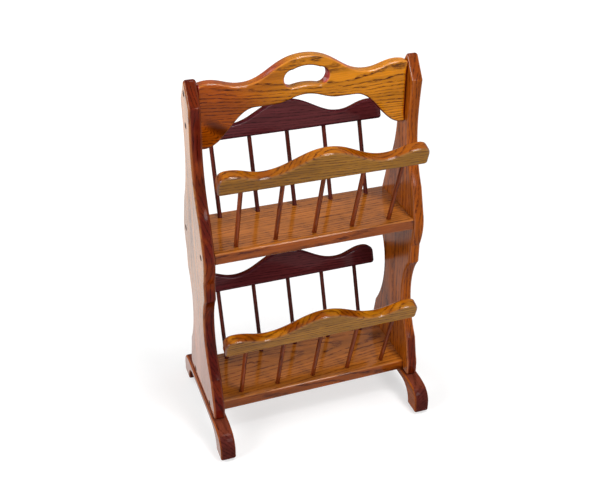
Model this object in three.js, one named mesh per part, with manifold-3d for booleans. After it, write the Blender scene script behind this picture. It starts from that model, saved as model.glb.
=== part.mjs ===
// Two-tier magazine rack in oak: scalloped side panels on trestle feet, two shelves, four leaning rails
// on round spindles, and a handle board across the top.
// Millimetres, +Z up, +X to the right, front towards -Y. The origin is on the floor under the rack's middle.
import * as THREE from "three";
import { mergeVertices } from "three/addons/utils/BufferGeometryUtils.js";
import Module from "manifold-3d";

const wasm = await Module();
wasm.setup();

// Joints: a glue line between boards, and the clearance round and behind what sits in a hole
const GLUE_LINE = 0.2;
const FIT_GAP = 0.3;

// Rounded edges of the boards
const EDGE_ROUND = 2.5;
const FOOT_EDGE_ROUND = 3;

// Clear width between the side panels
const INNER_WIDTH = 330;

// Floor glides: a disc under each end of a foot, held by a pin
const GLIDE_DIAMETER = 14;
const GLIDE_STAND = 4;
const GLIDE_CHAMFER = 1;
const GLIDE_PIN_DIAMETER = 3;
const GLIDE_PIN_LENGTH = 12;
const GLIDE_FROM_TOE = 17;

// Trestle feet
const FOOT_THICKNESS = 25.4;
const FOOT_LENGTH = 255;
const FOOT_HEIGHT = 47;
const FOOT_TOE_RISE = 17;
const FOOT_NOSE_SETBACK = 13;
const FOOT_NOSE_DROP = 6;
const FOOT_SLOPE_LENGTH = 28.5;
const FOOT_SLOPE_PULL = 11.5;
const FOOT_TOE_PULL = 14.5;
const PAD_LENGTH = 32.5;
const ARCH_RISE = 33;
const ARCH_RADIUS = 30;

// Stub tenon under each side panel
const TENON_THICKNESS = 9;
const TENON_LENGTH = 110;
const TENON_DEPTH = 7;

// Shelves
const SHELF_THICKNESS = 19;
const SHELF_DEPTH = 127;
const UPPER_SHELF_TOP = 359;
const LOWER_SHELF_TOP = 73;

// Side panels: half depths and heights of the profile's corners, and the pulls of the curves between them
const PANEL_THICKNESS = 19;
const PANEL_TOP = 617;
const CREST_HALF_DEPTH = 3;
const CREST_ROUND = 0.2;
const SHOULDER_HALF_DEPTH = 26.5;
const SHOULDER_DROP = 35;
const NECK_SHOULDER_PULL = { inward: 7, along: 58 };
const NECK_LEDGE_PULL = { inward: 35, along: 58 };
const LEDGE_RISE = 49.5;
const UPPER_LEDGE_HALF_DEPTH = 49.5;
const CHEEK_RISE = 2;
const CHEEK_HALF_DEPTH = 64.5;
const CHEEK_SWELL = 3.6;
const CHEEK_UPPER_PULL = 11;
const CHEEK_LOWER_PULL = 24;
const APRON_HALF_DEPTH = 58.3;
const APRON_TOP_DROP = 54;
const APRON_BOTTOM_DROP = 87;
const WAIST_APRON_PULL = { inward: 28.3, along: 35 };
const WAIST_LEDGE_PULL = { inward: 35.6, along: 48 };
const LOWER_LEDGE_HALF_DEPTH = 67.6;
const SKIRT_HALF_DEPTH = 80.6;
const SKIRT_SLOPE_DEPTH = 76;
const SKIRT_SLOPE_RISE = 15;
const SKIRT_BEND = 18;

// Spindles and the rails that they carry
const SPINDLE_COUNT = 5;
const SPINDLE_DIAMETER = 7;
const SPINDLE_EXPOSED = 124;
const SPINDLE_FROM_EDGE = 16.3;
const SPINDLE_END_MARGIN = 37;
const SOCKET_DEPTH = 12;
const LEAN = THREE.MathUtils.degToRad(18.5);
const RAIL_THICKNESS = 19;
const RAIL_CROWN_HEIGHT = 52;
const RAIL_DIP_HEIGHT = 22.5;
const RAIL_HUMP_HEIGHT = 34;
const RAIL_DIP_FROM_END = 70;
const RAIL_HUMP_FROM_END = 17;
const RAIL_TOP_CORNER = 15;
const RAIL_BOTTOM_CORNER = 6;

// Handle board: heights are measured from the top of the side panels
const HANDLE_THICKNESS = 19;
const HANDLE_CROWN_RISE = 19;
const HANDLE_DIP_DROP = 16;
const HANDLE_HUMP_DROP = 6.5;
const HANDLE_END_DROP = 9;
const HANDLE_DIP_FROM_END = 66;
const HANDLE_HUMP_FROM_END = 16;
const HANDLE_END_HEIGHT = 99;
const HANDLE_HEEL_LENGTH = 5;
const HANDLE_ARCH_RISE = 56;
const HANDLE_ARCH_FROM_END = 85;
const HANDLE_BUMP_HALF_WIDTH = 52;
const HANDLE_BUMP_RISE = 10.5;
const HAND_HOLE_WIDTH = 70;
const HAND_HOLE_HEIGHT = 28;
const HAND_HOLE_TOP_ARCH = 4.5;
const HAND_HOLE_BOTTOM_ARCH = 2.5;
const HAND_HOLE_FROM_CROWN = 15.5;

// Screws through the side panels, and the wood plugs over them
const PLUG_DIAMETER = 9.5;
const PLUG_LENGTH = 6;
const SCREW_HEAD_DIAMETER = 8;
const SCREW_HEAD_HEIGHT = 3;
const SCREW_SHANK_DIAMETER = 4;
const SCREW_SHANK_LENGTH = 40;
const SCREW_POINT_LENGTH = 5;
const SHELF_SCREW_FROM_EDGE = 15;
const HANDLE_SCREW_DROP = 20;
const HANDLE_SCREW_PITCH = 50;

// Steps of a curve, of a rounded edge and of a round piece
const CURVE_STEPS = 7;
const EDGE_STEPS = 2;
const ROUND_STEPS = 12;

// Share of a scallop's run over which its ends stay level, and the same share at the handle's crown
const SCALLOP_PULL = 0.4;
const CROWN_PULL = 0.5;

// Worked out from the sizes above
const FOOT_TOP = GLIDE_STAND + FOOT_HEIGHT;
const PANEL_BOTTOM = FOOT_TOP + GLUE_LINE;
const BOARD_LENGTH = INNER_WIDTH - 2 * GLUE_LINE;
const SPINDLE_SPREAD = SHELF_DEPTH / 2 - SPINDLE_FROM_EDGE;
const SHELF_SCREW_SPREAD = SHELF_DEPTH / 2 - SHELF_SCREW_FROM_EDGE;
const PANEL_OUTER_X = INNER_WIDTH / 2 + PANEL_THICKNESS;
const UPPER_HANDLE_SCREW = PANEL_TOP - HANDLE_SCREW_DROP;
const HANDLE_SCREW_HEIGHTS = [UPPER_HANDLE_SCREW, UPPER_HANDLE_SCREW - HANDLE_SCREW_PITCH];
const COUNTERBORE_DEPTH = PLUG_LENGTH + SCREW_HEAD_HEIGHT + 2 * FIT_GAP;
const SCREW_REACH = COUNTERBORE_DEPTH - FIT_GAP + SCREW_SHANK_LENGTH;
const SCREW_DEPTH_IN_BOARD = SCREW_REACH - PANEL_THICKNESS - GLUE_LINE;

// Surface finishes
const COLOURS = {
  handle: 0xb98036,
  panel: 0x9a602d,
  foot: 0x7c3f22,
  shelf: 0xa26a33,
  rail: 0xb07a3e,
  spindle: 0x7a431f,
  plug: 0x8a5a34,
  screw: 0xb9b5a8,
  glide: 0x17150f,
};

function lacqueredOak(color) {
  return new THREE.MeshStandardMaterial({ color, roughness: 0.28, metalness: 0 });
}

function zincSteel() {
  return new THREE.MeshStandardMaterial({ color: COLOURS.screw, roughness: 0.4, metalness: 1 });
}

function blackPlastic() {
  return new THREE.MeshStandardMaterial({ color: COLOURS.glide, roughness: 0.6, metalness: 0 });
}

// Joining and cutting closed geometries

function solid(geometry) {
  const bare = geometry.index ? geometry.toNonIndexed() : geometry.clone();
  for (const name of Object.keys(bare.attributes)) {
    if (name !== "position") bare.deleteAttribute(name);
  }
  const merged = mergeVertices(bare);
  return new wasm.Manifold(
    new wasm.Mesh({
      numProp: 3,
      vertProperties: merged.attributes.position.array,
      triVerts: new Uint32Array(merged.index.array),
    }),
  );
}

function asGeometry(body) {
  const mesh = body.getMesh();
  const geometry = new THREE.BufferGeometry();
  geometry.setAttribute("position", new THREE.BufferAttribute(mesh.vertProperties, 3));
  geometry.setIndex(new THREE.BufferAttribute(mesh.triVerts, 1));
  geometry.computeVertexNormals();
  return geometry;
}

function cut(geometry, tools) {
  let body = solid(geometry);
  for (const tool of tools) body = body.subtract(solid(tool));
  return asGeometry(body);
}

function join(first, second) {
  return asGeometry(solid(first).add(solid(second)));
}

// A board of an outline, with rounded edges, centred on its thickness
function board(shape, thickness, round) {
  const geometry = new THREE.ExtrudeGeometry(shape, {
    depth: thickness - 2 * round,
    bevelThickness: round,
    bevelSize: round,
    bevelOffset: -round,
    bevelSegments: EDGE_STEPS,
    curveSegments: CURVE_STEPS,
  });
  return geometry.translate(0, 0, round - thickness / 2);
}

// A round bar along local Z that starts at a height
function bar(diameter, length, start) {
  const geometry = new THREE.CylinderGeometry(diameter / 2, diameter / 2, length, ROUND_STEPS);
  return geometry.rotateX(Math.PI / 2).translate(0, 0, start + length / 2);
}

// A whole outline from its half at x >= 0
function mirrored(half) {
  const points = half.getPoints(CURVE_STEPS);
  const other = points.filter((p) => p.x > 0).map((p) => new THREE.Vector2(-p.x, p.y));
  return new THREE.Shape([...points, ...other.reverse()]);
}

// A scallop from the path's end to a point, level at both ends
function scallop(path, x, y, startPull = SCALLOP_PULL) {
  const from = path.currentPoint.clone();
  const run = x - from.x;
  path.bezierCurveTo(from.x + run * startPull, from.y, x - run * SCALLOP_PULL, y, x, y);
}

function named(name, geometry, material) {
  const mesh = new THREE.Mesh(geometry, material);
  mesh.name = name;
  return mesh;
}

// Turns a geometry drawn in depth and height, with its thickness along local Z, to stand across the rack
function standAcross(object) {
  object.rotation.set(Math.PI / 2, Math.PI / 2, 0);
  return object;
}

// Side panels

function panelOutline() {
  const upperLedge = UPPER_SHELF_TOP + LEDGE_RISE;
  const lowerLedge = LOWER_SHELF_TOP + LEDGE_RISE;
  const apronTop = UPPER_SHELF_TOP - APRON_TOP_DROP;
  const apronBottom = UPPER_SHELF_TOP - APRON_BOTTOM_DROP;
  const cheek = UPPER_SHELF_TOP + CHEEK_RISE;
  const shoulder = PANEL_TOP - SHOULDER_DROP;
  const slopeTop = THREE.MathUtils.lerp(PANEL_TOP, shoulder, CREST_ROUND);
  const slopeHalf = THREE.MathUtils.lerp(CREST_HALF_DEPTH, SHOULDER_HALF_DEPTH, CREST_ROUND);
  const half = new THREE.Path();
  half.moveTo(SKIRT_HALF_DEPTH, PANEL_BOTTOM);
  half.lineTo(SKIRT_HALF_DEPTH, PANEL_BOTTOM + SKIRT_BEND);
  half.quadraticCurveTo(
    SKIRT_HALF_DEPTH,
    (PANEL_BOTTOM + SKIRT_BEND + LOWER_SHELF_TOP + SKIRT_SLOPE_RISE) / 2,
    SKIRT_SLOPE_DEPTH,
    LOWER_SHELF_TOP + SKIRT_SLOPE_RISE,
  );
  half.lineTo(LOWER_LEDGE_HALF_DEPTH, lowerLedge);
  half.bezierCurveTo(
    LOWER_LEDGE_HALF_DEPTH - WAIST_LEDGE_PULL.inward,
    lowerLedge + WAIST_LEDGE_PULL.along,
    APRON_HALF_DEPTH - WAIST_APRON_PULL.inward,
    apronBottom - WAIST_APRON_PULL.along,
    APRON_HALF_DEPTH,
    apronBottom,
  );
  half.lineTo(APRON_HALF_DEPTH, apronTop);
  half.bezierCurveTo(
    CHEEK_HALF_DEPTH + CHEEK_SWELL,
    apronTop + CHEEK_LOWER_PULL,
    CHEEK_HALF_DEPTH + CHEEK_SWELL,
    cheek - CHEEK_UPPER_PULL,
    CHEEK_HALF_DEPTH,
    cheek,
  );
  half.lineTo(UPPER_LEDGE_HALF_DEPTH, upperLedge);
  half.bezierCurveTo(
    UPPER_LEDGE_HALF_DEPTH - NECK_LEDGE_PULL.inward,
    upperLedge + NECK_LEDGE_PULL.along,
    SHOULDER_HALF_DEPTH - NECK_SHOULDER_PULL.inward,
    shoulder - NECK_SHOULDER_PULL.along,
    SHOULDER_HALF_DEPTH,
    shoulder,
  );
  half.lineTo(slopeHalf, slopeTop);
  half.quadraticCurveTo(CREST_HALF_DEPTH, PANEL_TOP, 0, PANEL_TOP);
  return mirrored(half);
}

// Depth and height of every screw through a side panel
function screwPlaces() {
  const places = [];
  HANDLE_SCREW_HEIGHTS.forEach((z, i) => places.push({ name: `handle_${i + 1}`, y: 0, z }));
  for (const [shelf, top] of [["upper_shelf", UPPER_SHELF_TOP], ["lower_shelf", LOWER_SHELF_TOP]]) {
    [-1, 1].forEach((end, i) => {
      places.push({ name: `${shelf}_${i + 1}`, y: end * SHELF_SCREW_SPREAD, z: top - SHELF_THICKNESS / 2 });
    });
  }
  return places;
}

function panelGeometry() {
  const tenonRoot = EDGE_ROUND + SKIRT_BEND;
  const tenon = new THREE.BoxGeometry(TENON_LENGTH, TENON_DEPTH + tenonRoot, TENON_THICKNESS);
  tenon.translate(0, PANEL_BOTTOM + (tenonRoot - TENON_DEPTH) / 2, 0);
  const blank = join(board(panelOutline(), PANEL_THICKNESS, EDGE_ROUND), tenon);
  const outer = PANEL_THICKNESS / 2;
  const tools = [];
  for (const { y, z } of screwPlaces()) {
    const shank = bar(SCREW_SHANK_DIAMETER + 2 * FIT_GAP, 2 * PANEL_THICKNESS, -PANEL_THICKNESS);
    const counterbore = bar(PLUG_DIAMETER + 2 * FIT_GAP, 2 * COUNTERBORE_DEPTH, outer - COUNTERBORE_DEPTH);
    tools.push(shank.translate(y, z, 0), counterbore.translate(y, z, 0));
  }
  return cut(blank, tools);
}

// Feet and glides

function footOutline() {
  const toe = FOOT_LENGTH / 2;
  const archEnd = toe - PAD_LENGTH;
  const nose = toe - FOOT_NOSE_SETBACK;
  const half = new THREE.Path();
  const archTop = GLIDE_STAND + ARCH_RISE;
  half.moveTo(0, archTop);
  half.lineTo(archEnd - ARCH_RADIUS, archTop);
  half.absarc(archEnd - ARCH_RADIUS, archTop - ARCH_RADIUS, ARCH_RADIUS, Math.PI / 2, 0, true);
  half.lineTo(archEnd, GLIDE_STAND);
  half.lineTo(toe, GLIDE_STAND);
  half.lineTo(toe, GLIDE_STAND + FOOT_TOE_RISE);
  half.quadraticCurveTo(toe, GLIDE_STAND + FOOT_TOE_RISE + FOOT_TOE_PULL, nose, FOOT_TOP - FOOT_NOSE_DROP);
  half.quadraticCurveTo(nose - FOOT_SLOPE_PULL, FOOT_TOP, nose - FOOT_SLOPE_LENGTH, FOOT_TOP);
  half.lineTo(0, FOOT_TOP);
  return mirrored(half);
}

const GLIDE_REACH = FOOT_LENGTH / 2 - GLIDE_FROM_TOE;

function footGeometry() {
  const mortise = new THREE.BoxGeometry(
    TENON_LENGTH + 2 * FIT_GAP,
    2 * (TENON_DEPTH - GLUE_LINE + FIT_GAP),
    TENON_THICKNESS + 2 * FIT_GAP,
  );
  mortise.translate(0, FOOT_TOP, 0);
  const tools = [mortise];
  for (const end of [-1, 1]) {
    const depth = GLIDE_PIN_LENGTH + FIT_GAP;
    const hole = bar(GLIDE_PIN_DIAMETER + 2 * FIT_GAP, 2 * depth, -depth);
    tools.push(hole.rotateX(-Math.PI / 2).translate(end * GLIDE_REACH, GLIDE_STAND, 0));
  }
  return cut(board(footOutline(), FOOT_THICKNESS, FOOT_EDGE_ROUND), tools);
}

function glideGeometry() {
  const rim = GLIDE_DIAMETER / 2;
  const top = GLIDE_STAND - GLUE_LINE;
  const profile = [
    [0, 0],
    [rim - GLIDE_CHAMFER, 0],
    [rim, GLIDE_CHAMFER],
    [rim, top],
    [GLIDE_PIN_DIAMETER / 2, top],
    [GLIDE_PIN_DIAMETER / 2, GLIDE_STAND + GLIDE_PIN_LENGTH],
    [0, GLIDE_STAND + GLIDE_PIN_LENGTH],
  ];
  const points = profile.map(([r, z]) => new THREE.Vector2(r, z));
  return new THREE.LatheGeometry(points, ROUND_STEPS).rotateX(Math.PI / 2);
}

// Screws and plugs, pointing along local +Z out of the panel, from the panel's outer face

function screwGeometry() {
  const head = -PLUG_LENGTH - FIT_GAP;
  const neck = head - SCREW_HEAD_HEIGHT;
  const tip = neck - SCREW_SHANK_LENGTH;
  const profile = [
    [0, tip],
    [SCREW_SHANK_DIAMETER / 2, tip + SCREW_POINT_LENGTH],
    [SCREW_SHANK_DIAMETER / 2, neck],
    [SCREW_HEAD_DIAMETER / 2, neck],
    [SCREW_HEAD_DIAMETER / 2, head],
    [0, head],
  ];
  const points = profile.map(([r, z]) => new THREE.Vector2(r, z));
  return new THREE.LatheGeometry(points, ROUND_STEPS).rotateX(Math.PI / 2);
}

// One side of the rack as seen from its outside, on +X
function side(name, turn) {
  const group = new THREE.Group();
  const middle = INNER_WIDTH / 2 + PANEL_THICKNESS / 2;
  const panel = standAcross(named(`${name}_side_panel`, panelGeometry(), lacqueredOak(COLOURS.panel)));
  const foot = standAcross(named(`${name}_foot`, footGeometry(), lacqueredOak(COLOURS.foot)));
  panel.position.x = middle;
  foot.position.x = middle;
  group.add(panel, foot);
  const ends = turn ? { rear: -1, front: 1 } : { front: -1, rear: 1 };
  for (const [end, sign] of Object.entries(ends)) {
    const glide = named(`${name}_${end}_glide`, glideGeometry(), blackPlastic());
    glide.position.set(middle, sign * GLIDE_REACH, 0);
    group.add(glide);
  }
  for (const place of screwPlaces()) {
    const screw = named(`${name}_${place.name}_screw`, screwGeometry(), zincSteel());
    const plug = named(`${name}_${place.name}_plug`, bar(PLUG_DIAMETER, PLUG_LENGTH, -PLUG_LENGTH),
      lacqueredOak(COLOURS.plug));
    for (const piece of [screw, plug]) {
      piece.position.set(PANEL_OUTER_X, place.y, place.z);
      group.add(standAcross(piece));
    }
  }
  group.rotation.z = turn;
  return group;
}

// Places of the spindles along a rail
function spindlePlaces() {
  const first = SPINDLE_END_MARGIN - BOARD_LENGTH / 2;
  const pitch = (BOARD_LENGTH - 2 * SPINDLE_END_MARGIN) / (SPINDLE_COUNT - 1);
  return Array.from({ length: SPINDLE_COUNT }, (_, i) => first + i * pitch);
}

// Pilot holes for screws in both ends of a board that runs along local Z
function pilots(x, y) {
  const diameter = SCREW_SHANK_DIAMETER + 2 * FIT_GAP;
  const length = 2 * (SCREW_DEPTH_IN_BOARD + FIT_GAP);
  return [-1, 1].map((end) => bar(diameter, length, (end * BOARD_LENGTH - length) / 2).translate(x, y, 0));
}

function shelfGeometry() {
  const section = new THREE.Shape();
  const reach = SHELF_DEPTH / 2 - EDGE_ROUND;
  const low = EDGE_ROUND - SHELF_THICKNESS;
  section.moveTo(-reach, -SHELF_THICKNESS);
  section.absarc(reach, low, EDGE_ROUND, -Math.PI / 2, 0, false);
  section.absarc(reach, -EDGE_ROUND, EDGE_ROUND, 0, Math.PI / 2, false);
  section.absarc(-reach, -EDGE_ROUND, EDGE_ROUND, Math.PI / 2, Math.PI, false);
  section.absarc(-reach, low, EDGE_ROUND, Math.PI, 1.5 * Math.PI, false);
  const blank = new THREE.ExtrudeGeometry(section, {
    depth: BOARD_LENGTH,
    bevelEnabled: false,
    curveSegments: EDGE_STEPS,
  });
  blank.translate(0, 0, -BOARD_LENGTH / 2);
  const tools = [];
  for (const end of [-1, 1]) {
    tools.push(...pilots(end * SHELF_SCREW_SPREAD, -SHELF_THICKNESS / 2));
    for (const x of spindlePlaces()) {
      const socket = bar(SPINDLE_DIAMETER + 2 * FIT_GAP, 2 * SOCKET_DEPTH, -SOCKET_DEPTH);
      tools.push(socket.rotateX(-Math.PI / 2).rotateZ(-end * LEAN).translate(end * SPINDLE_SPREAD, 0, x));
    }
  }
  return cut(blank, tools);
}

function railOutline() {
  const end = BOARD_LENGTH / 2;
  const half = new THREE.Path();
  half.moveTo(0, RAIL_CROWN_HEIGHT);
  scallop(half, end - RAIL_DIP_FROM_END, RAIL_DIP_HEIGHT);
  scallop(half, end - RAIL_HUMP_FROM_END, RAIL_HUMP_HEIGHT);
  half.quadraticCurveTo(end, RAIL_HUMP_HEIGHT, end, RAIL_HUMP_HEIGHT - RAIL_TOP_CORNER);
  half.lineTo(end, RAIL_BOTTOM_CORNER);
  half.quadraticCurveTo(end, 0, end - RAIL_BOTTOM_CORNER, 0);
  half.lineTo(0, 0);
  return mirrored(half);
}

function railGeometry() {
  const sockets = spindlePlaces().map((x) => {
    const socket = bar(SPINDLE_DIAMETER + 2 * FIT_GAP, 2 * SOCKET_DEPTH, -SOCKET_DEPTH);
    return socket.rotateX(-Math.PI / 2).translate(x, 0, 0);
  });
  return cut(board(railOutline(), RAIL_THICKNESS, EDGE_ROUND), sockets);
}

// A rail on its spindles, leaning outwards from the shelf that carries it
function gallery(name, shelfTop, outward) {
  const group = new THREE.Group();
  const length = SPINDLE_EXPOSED + 2 * (SOCKET_DEPTH - FIT_GAP);
  spindlePlaces().forEach((x, i) => {
    const rod = bar(SPINDLE_DIAMETER, length, FIT_GAP - SOCKET_DEPTH);
    const spindle = named(`${name}_spindle_${i + 1}`, rod, lacqueredOak(COLOURS.spindle));
    spindle.position.x = x;
    group.add(spindle);
  });
  const rail = named(`${name}_rail`, railGeometry(), lacqueredOak(COLOURS.rail));
  rail.rotation.x = Math.PI / 2;
  rail.position.z = SPINDLE_EXPOSED;
  group.add(rail);
  group.position.set(0, outward * SPINDLE_SPREAD, shelfTop);
  group.rotation.x = -outward * LEAN;
  return group;
}

// A shelf with a gallery at its front and at its rear
function tier(name, shelfTop) {
  const group = new THREE.Group();
  const shelf = standAcross(named(`${name}_shelf`, shelfGeometry(), lacqueredOak(COLOURS.shelf)));
  shelf.position.z = shelfTop;
  group.add(shelf, gallery(`${name}_front`, shelfTop, -1), gallery(`${name}_rear`, shelfTop, 1));
  return group;
}

// Handle board

function handHole(crown) {
  const radius = HAND_HOLE_HEIGHT / 2;
  const reach = HAND_HOLE_WIDTH / 2 - radius;
  const top = crown - HAND_HOLE_FROM_CROWN - HAND_HOLE_TOP_ARCH;
  const bottom = top - HAND_HOLE_HEIGHT;
  const hole = new THREE.Path();
  hole.moveTo(-reach, bottom);
  hole.quadraticCurveTo(0, bottom + 2 * HAND_HOLE_BOTTOM_ARCH, reach, bottom);
  hole.absarc(reach, bottom + radius, radius, -Math.PI / 2, Math.PI / 2, false);
  hole.quadraticCurveTo(0, top + 2 * HAND_HOLE_TOP_ARCH, -reach, top);
  hole.absarc(-reach, bottom + radius, radius, Math.PI / 2, 1.5 * Math.PI, false);
  return hole;
}

function handleGeometry() {
  const end = BOARD_LENGTH / 2;
  const crown = PANEL_TOP + HANDLE_CROWN_RISE;
  const heel = PANEL_TOP - HANDLE_END_DROP - HANDLE_END_HEIGHT;
  const arch = heel + HANDLE_ARCH_RISE;
  const half = new THREE.Path();
  half.moveTo(0, crown);
  scallop(half, end - HANDLE_DIP_FROM_END, PANEL_TOP - HANDLE_DIP_DROP, CROWN_PULL);
  scallop(half, end - HANDLE_HUMP_FROM_END, PANEL_TOP - HANDLE_HUMP_DROP);
  half.quadraticCurveTo(
    end - HANDLE_HUMP_FROM_END / 2,
    PANEL_TOP - HANDLE_HUMP_DROP,
    end,
    PANEL_TOP - HANDLE_END_DROP,
  );
  half.lineTo(end, heel);
  half.lineTo(end - HANDLE_HEEL_LENGTH, heel);
  scallop(half, end - HANDLE_ARCH_FROM_END, arch);
  half.lineTo(HANDLE_BUMP_HALF_WIDTH, arch);
  scallop(half, 0, arch + HANDLE_BUMP_RISE);
  const outline = mirrored(half);
  outline.holes.push(handHole(crown));
  const tools = HANDLE_SCREW_HEIGHTS.flatMap((z) => pilots(0, z).map((pilot) => pilot.rotateY(Math.PI / 2)));
  return cut(board(outline, HANDLE_THICKNESS, EDGE_ROUND), tools);
}

function handle() {
  const mesh = named("handle_board", handleGeometry(), lacqueredOak(COLOURS.handle));
  mesh.rotation.x = Math.PI / 2;
  return mesh;
}

const rack = new THREE.Group();
rack.add(side("right", 0), side("left", Math.PI));
rack.add(tier("upper", UPPER_SHELF_TOP), tier("lower", LOWER_SHELF_TOP), handle());

export default rack;
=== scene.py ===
"""A two-tier oak display rack, dressed for a studio picture.

Metres in the scene, millimetres in the drawing sizes. Front towards -Y, floor at Z = 0.
"""

import math

import bmesh
import bpy
from mathutils import Euler, Matrix, Vector
from mathutils.geometry import tessellate_polygon


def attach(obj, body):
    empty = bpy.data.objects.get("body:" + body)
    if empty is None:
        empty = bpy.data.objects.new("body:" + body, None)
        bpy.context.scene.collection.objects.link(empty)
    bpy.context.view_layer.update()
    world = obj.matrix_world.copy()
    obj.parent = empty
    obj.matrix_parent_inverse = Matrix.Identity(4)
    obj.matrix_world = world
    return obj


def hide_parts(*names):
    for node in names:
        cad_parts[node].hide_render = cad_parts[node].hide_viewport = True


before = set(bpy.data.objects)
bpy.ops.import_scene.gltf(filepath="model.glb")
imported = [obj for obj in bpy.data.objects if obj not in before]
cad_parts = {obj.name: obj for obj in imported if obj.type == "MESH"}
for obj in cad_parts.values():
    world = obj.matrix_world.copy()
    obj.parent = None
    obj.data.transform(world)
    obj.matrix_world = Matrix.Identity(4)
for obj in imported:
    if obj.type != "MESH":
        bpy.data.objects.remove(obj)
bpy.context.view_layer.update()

MM = 0.001
QUARTER_TURN = math.radians(90)

# Joints: the glue line between boards, and the clearance round what sits in a hole
GLUE_LINE = 0.2
FIT_GAP = 0.3

# Boards
INNER_WIDTH = 330
BOARD_LENGTH = INNER_WIDTH - 2 * GLUE_LINE
BOARD_THICKNESS = 19
PANEL_MIDDLE = INNER_WIDTH / 2 + BOARD_THICKNESS / 2
PANEL_OUTSIDE = INNER_WIDTH / 2 + BOARD_THICKNESS

# Rounding of the boards' edges, and of the corners of their outlines
EDGE_ROUND = 2.8
RAIL_EDGE_ROUND = 3.6
FOOT_EDGE_ROUND = 3.4
PANEL_EDGE_ROUND = 4.5
SHELF_END_ROUND = 0.25
HANDLE_END_ROUND = 6.2
HANDLE_END_BAND = 3
HANDLE_END_MARGIN = 4
HANDLE_END_FADE = 9
FOOT_CORNER_ROUND = 4
HANDLE_CORNER_ROUND = 3.6
PANEL_CORNER_ROUND = 5.2

# Feet
FOOT_THICKNESS = 25.4
FOOT_LENGTH = 255
FOOT_HEIGHT = 47
FOOT_TOE_RISE = 17
FOOT_TOE_PULL = 14.5
FOOT_NOSE_SETBACK = 13
FOOT_NOSE_DROP = 6
FOOT_SLOPE_LENGTH = 28.5
FOOT_SLOPE_PULL = 11.5
PAD_LENGTH = 32.5
ARCH_RISE = 33
ARCH_RADIUS = 30

# Floor glides
GLIDE_STAND = 4
GLIDE_RADIUS = 7
GLIDE_RIM_ROUND = 1.4
GLIDE_CHAMFER = 0.4
GLIDE_PIN_RADIUS = 1.5
GLIDE_PIN_LENGTH = 12
GLIDE_PIN_POINT = 1
GLIDE_FROM_TOE = 17
GLIDE_REACH = FOOT_LENGTH / 2 - GLIDE_FROM_TOE
FOOT_TOP = GLIDE_STAND + FOOT_HEIGHT

# Stub tenon under each side panel
TENON_LENGTH = 110
TENON_DEPTH = 7
TENON_THICKNESS = 9

# Shelves
SHELF_DEPTH = 127
UPPER_SHELF_TOP = 359
LOWER_SHELF_TOP = 73

# Side panels: half depths and heights of the outline's corners, and the pulls of the curves between them
PANEL_BOTTOM = FOOT_TOP + GLUE_LINE
PANEL_TOP = 617
CREST_HALF_DEPTH = 3
SHOULDER_HALF_DEPTH = 26.5
SHOULDER_DROP = 35
NECK_SHOULDER_PULL = Vector((-7, -58))
NECK_LEDGE_PULL = Vector((-35, 58))
LEDGE_RISE = 49.5
UPPER_LEDGE_HALF_DEPTH = 49.5
LOWER_LEDGE_HALF_DEPTH = 67.6
CHEEK_RISE = 2
CHEEK_HALF_DEPTH = 64.5
CHEEK_SWELL = 3.6
CHEEK_UPPER_PULL = 11
CHEEK_LOWER_PULL = 24
APRON_HALF_DEPTH = 58.3
APRON_TOP_DROP = 54
APRON_BOTTOM_DROP = 87
WAIST_APRON_PULL = Vector((-28.3, -35))
WAIST_LEDGE_PULL = Vector((-35.6, 48))
SKIRT_HALF_DEPTH = 80.6
SKIRT_SLOPE_DEPTH = 76
SKIRT_SLOPE_RISE = 15
SKIRT_BEND = 18

# Spindles. Each is turned further round than the one before it, so that no two show the same grain
SPINDLE_COUNT = 5
SPINDLE_RADIUS = 3.5
SPINDLE_CHAMFER = 0.6
SPINDLE_EXPOSED = 124
SPINDLE_FROM_EDGE = 16.3
SPINDLE_SPREAD = SHELF_DEPTH / 2 - SPINDLE_FROM_EDGE
SPINDLE_END_MARGIN = 37
SPINDLE_TURN = 2.4
SOCKET_DEPTH = 12
LEAN = math.radians(18.5)

# Rails
RAIL_CROWN_HEIGHT = 52
RAIL_DIP_HEIGHT = 22.5
RAIL_HUMP_HEIGHT = 34
RAIL_DIP_FROM_END = 70
RAIL_HUMP_FROM_END = 17
RAIL_TOP_CORNER = 15
RAIL_BOTTOM_CORNER = 6

# Handle board: the rise of its crown and the drops along its top are from the top of the side panels
HANDLE_CROWN_RISE = 19
HANDLE_DIP_DROP = 16
HANDLE_HUMP_DROP = 6.5
HANDLE_END_DROP = 9
HANDLE_CROWN = PANEL_TOP + HANDLE_CROWN_RISE
HANDLE_DIP = PANEL_TOP - HANDLE_DIP_DROP
HANDLE_HUMP = PANEL_TOP - HANDLE_HUMP_DROP
HANDLE_END_TOP = PANEL_TOP - HANDLE_END_DROP
HANDLE_END_HEIGHT = 99
HANDLE_DIP_FROM_END = 66
HANDLE_HUMP_FROM_END = 16
HANDLE_HEEL_LENGTH = 5
HANDLE_ARCH_RISE = 56
HANDLE_ARCH_FROM_END = 85
HANDLE_BUMP_HALF_WIDTH = 52
HANDLE_BUMP_RISE = 10.5
HAND_HOLE_WIDTH = 70
HAND_HOLE_HEIGHT = 28
HAND_HOLE_TOP_ARCH = 4.5
HAND_HOLE_BOTTOM_ARCH = 2.5
HAND_HOLE_FROM_CROWN = 15.5

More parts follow.
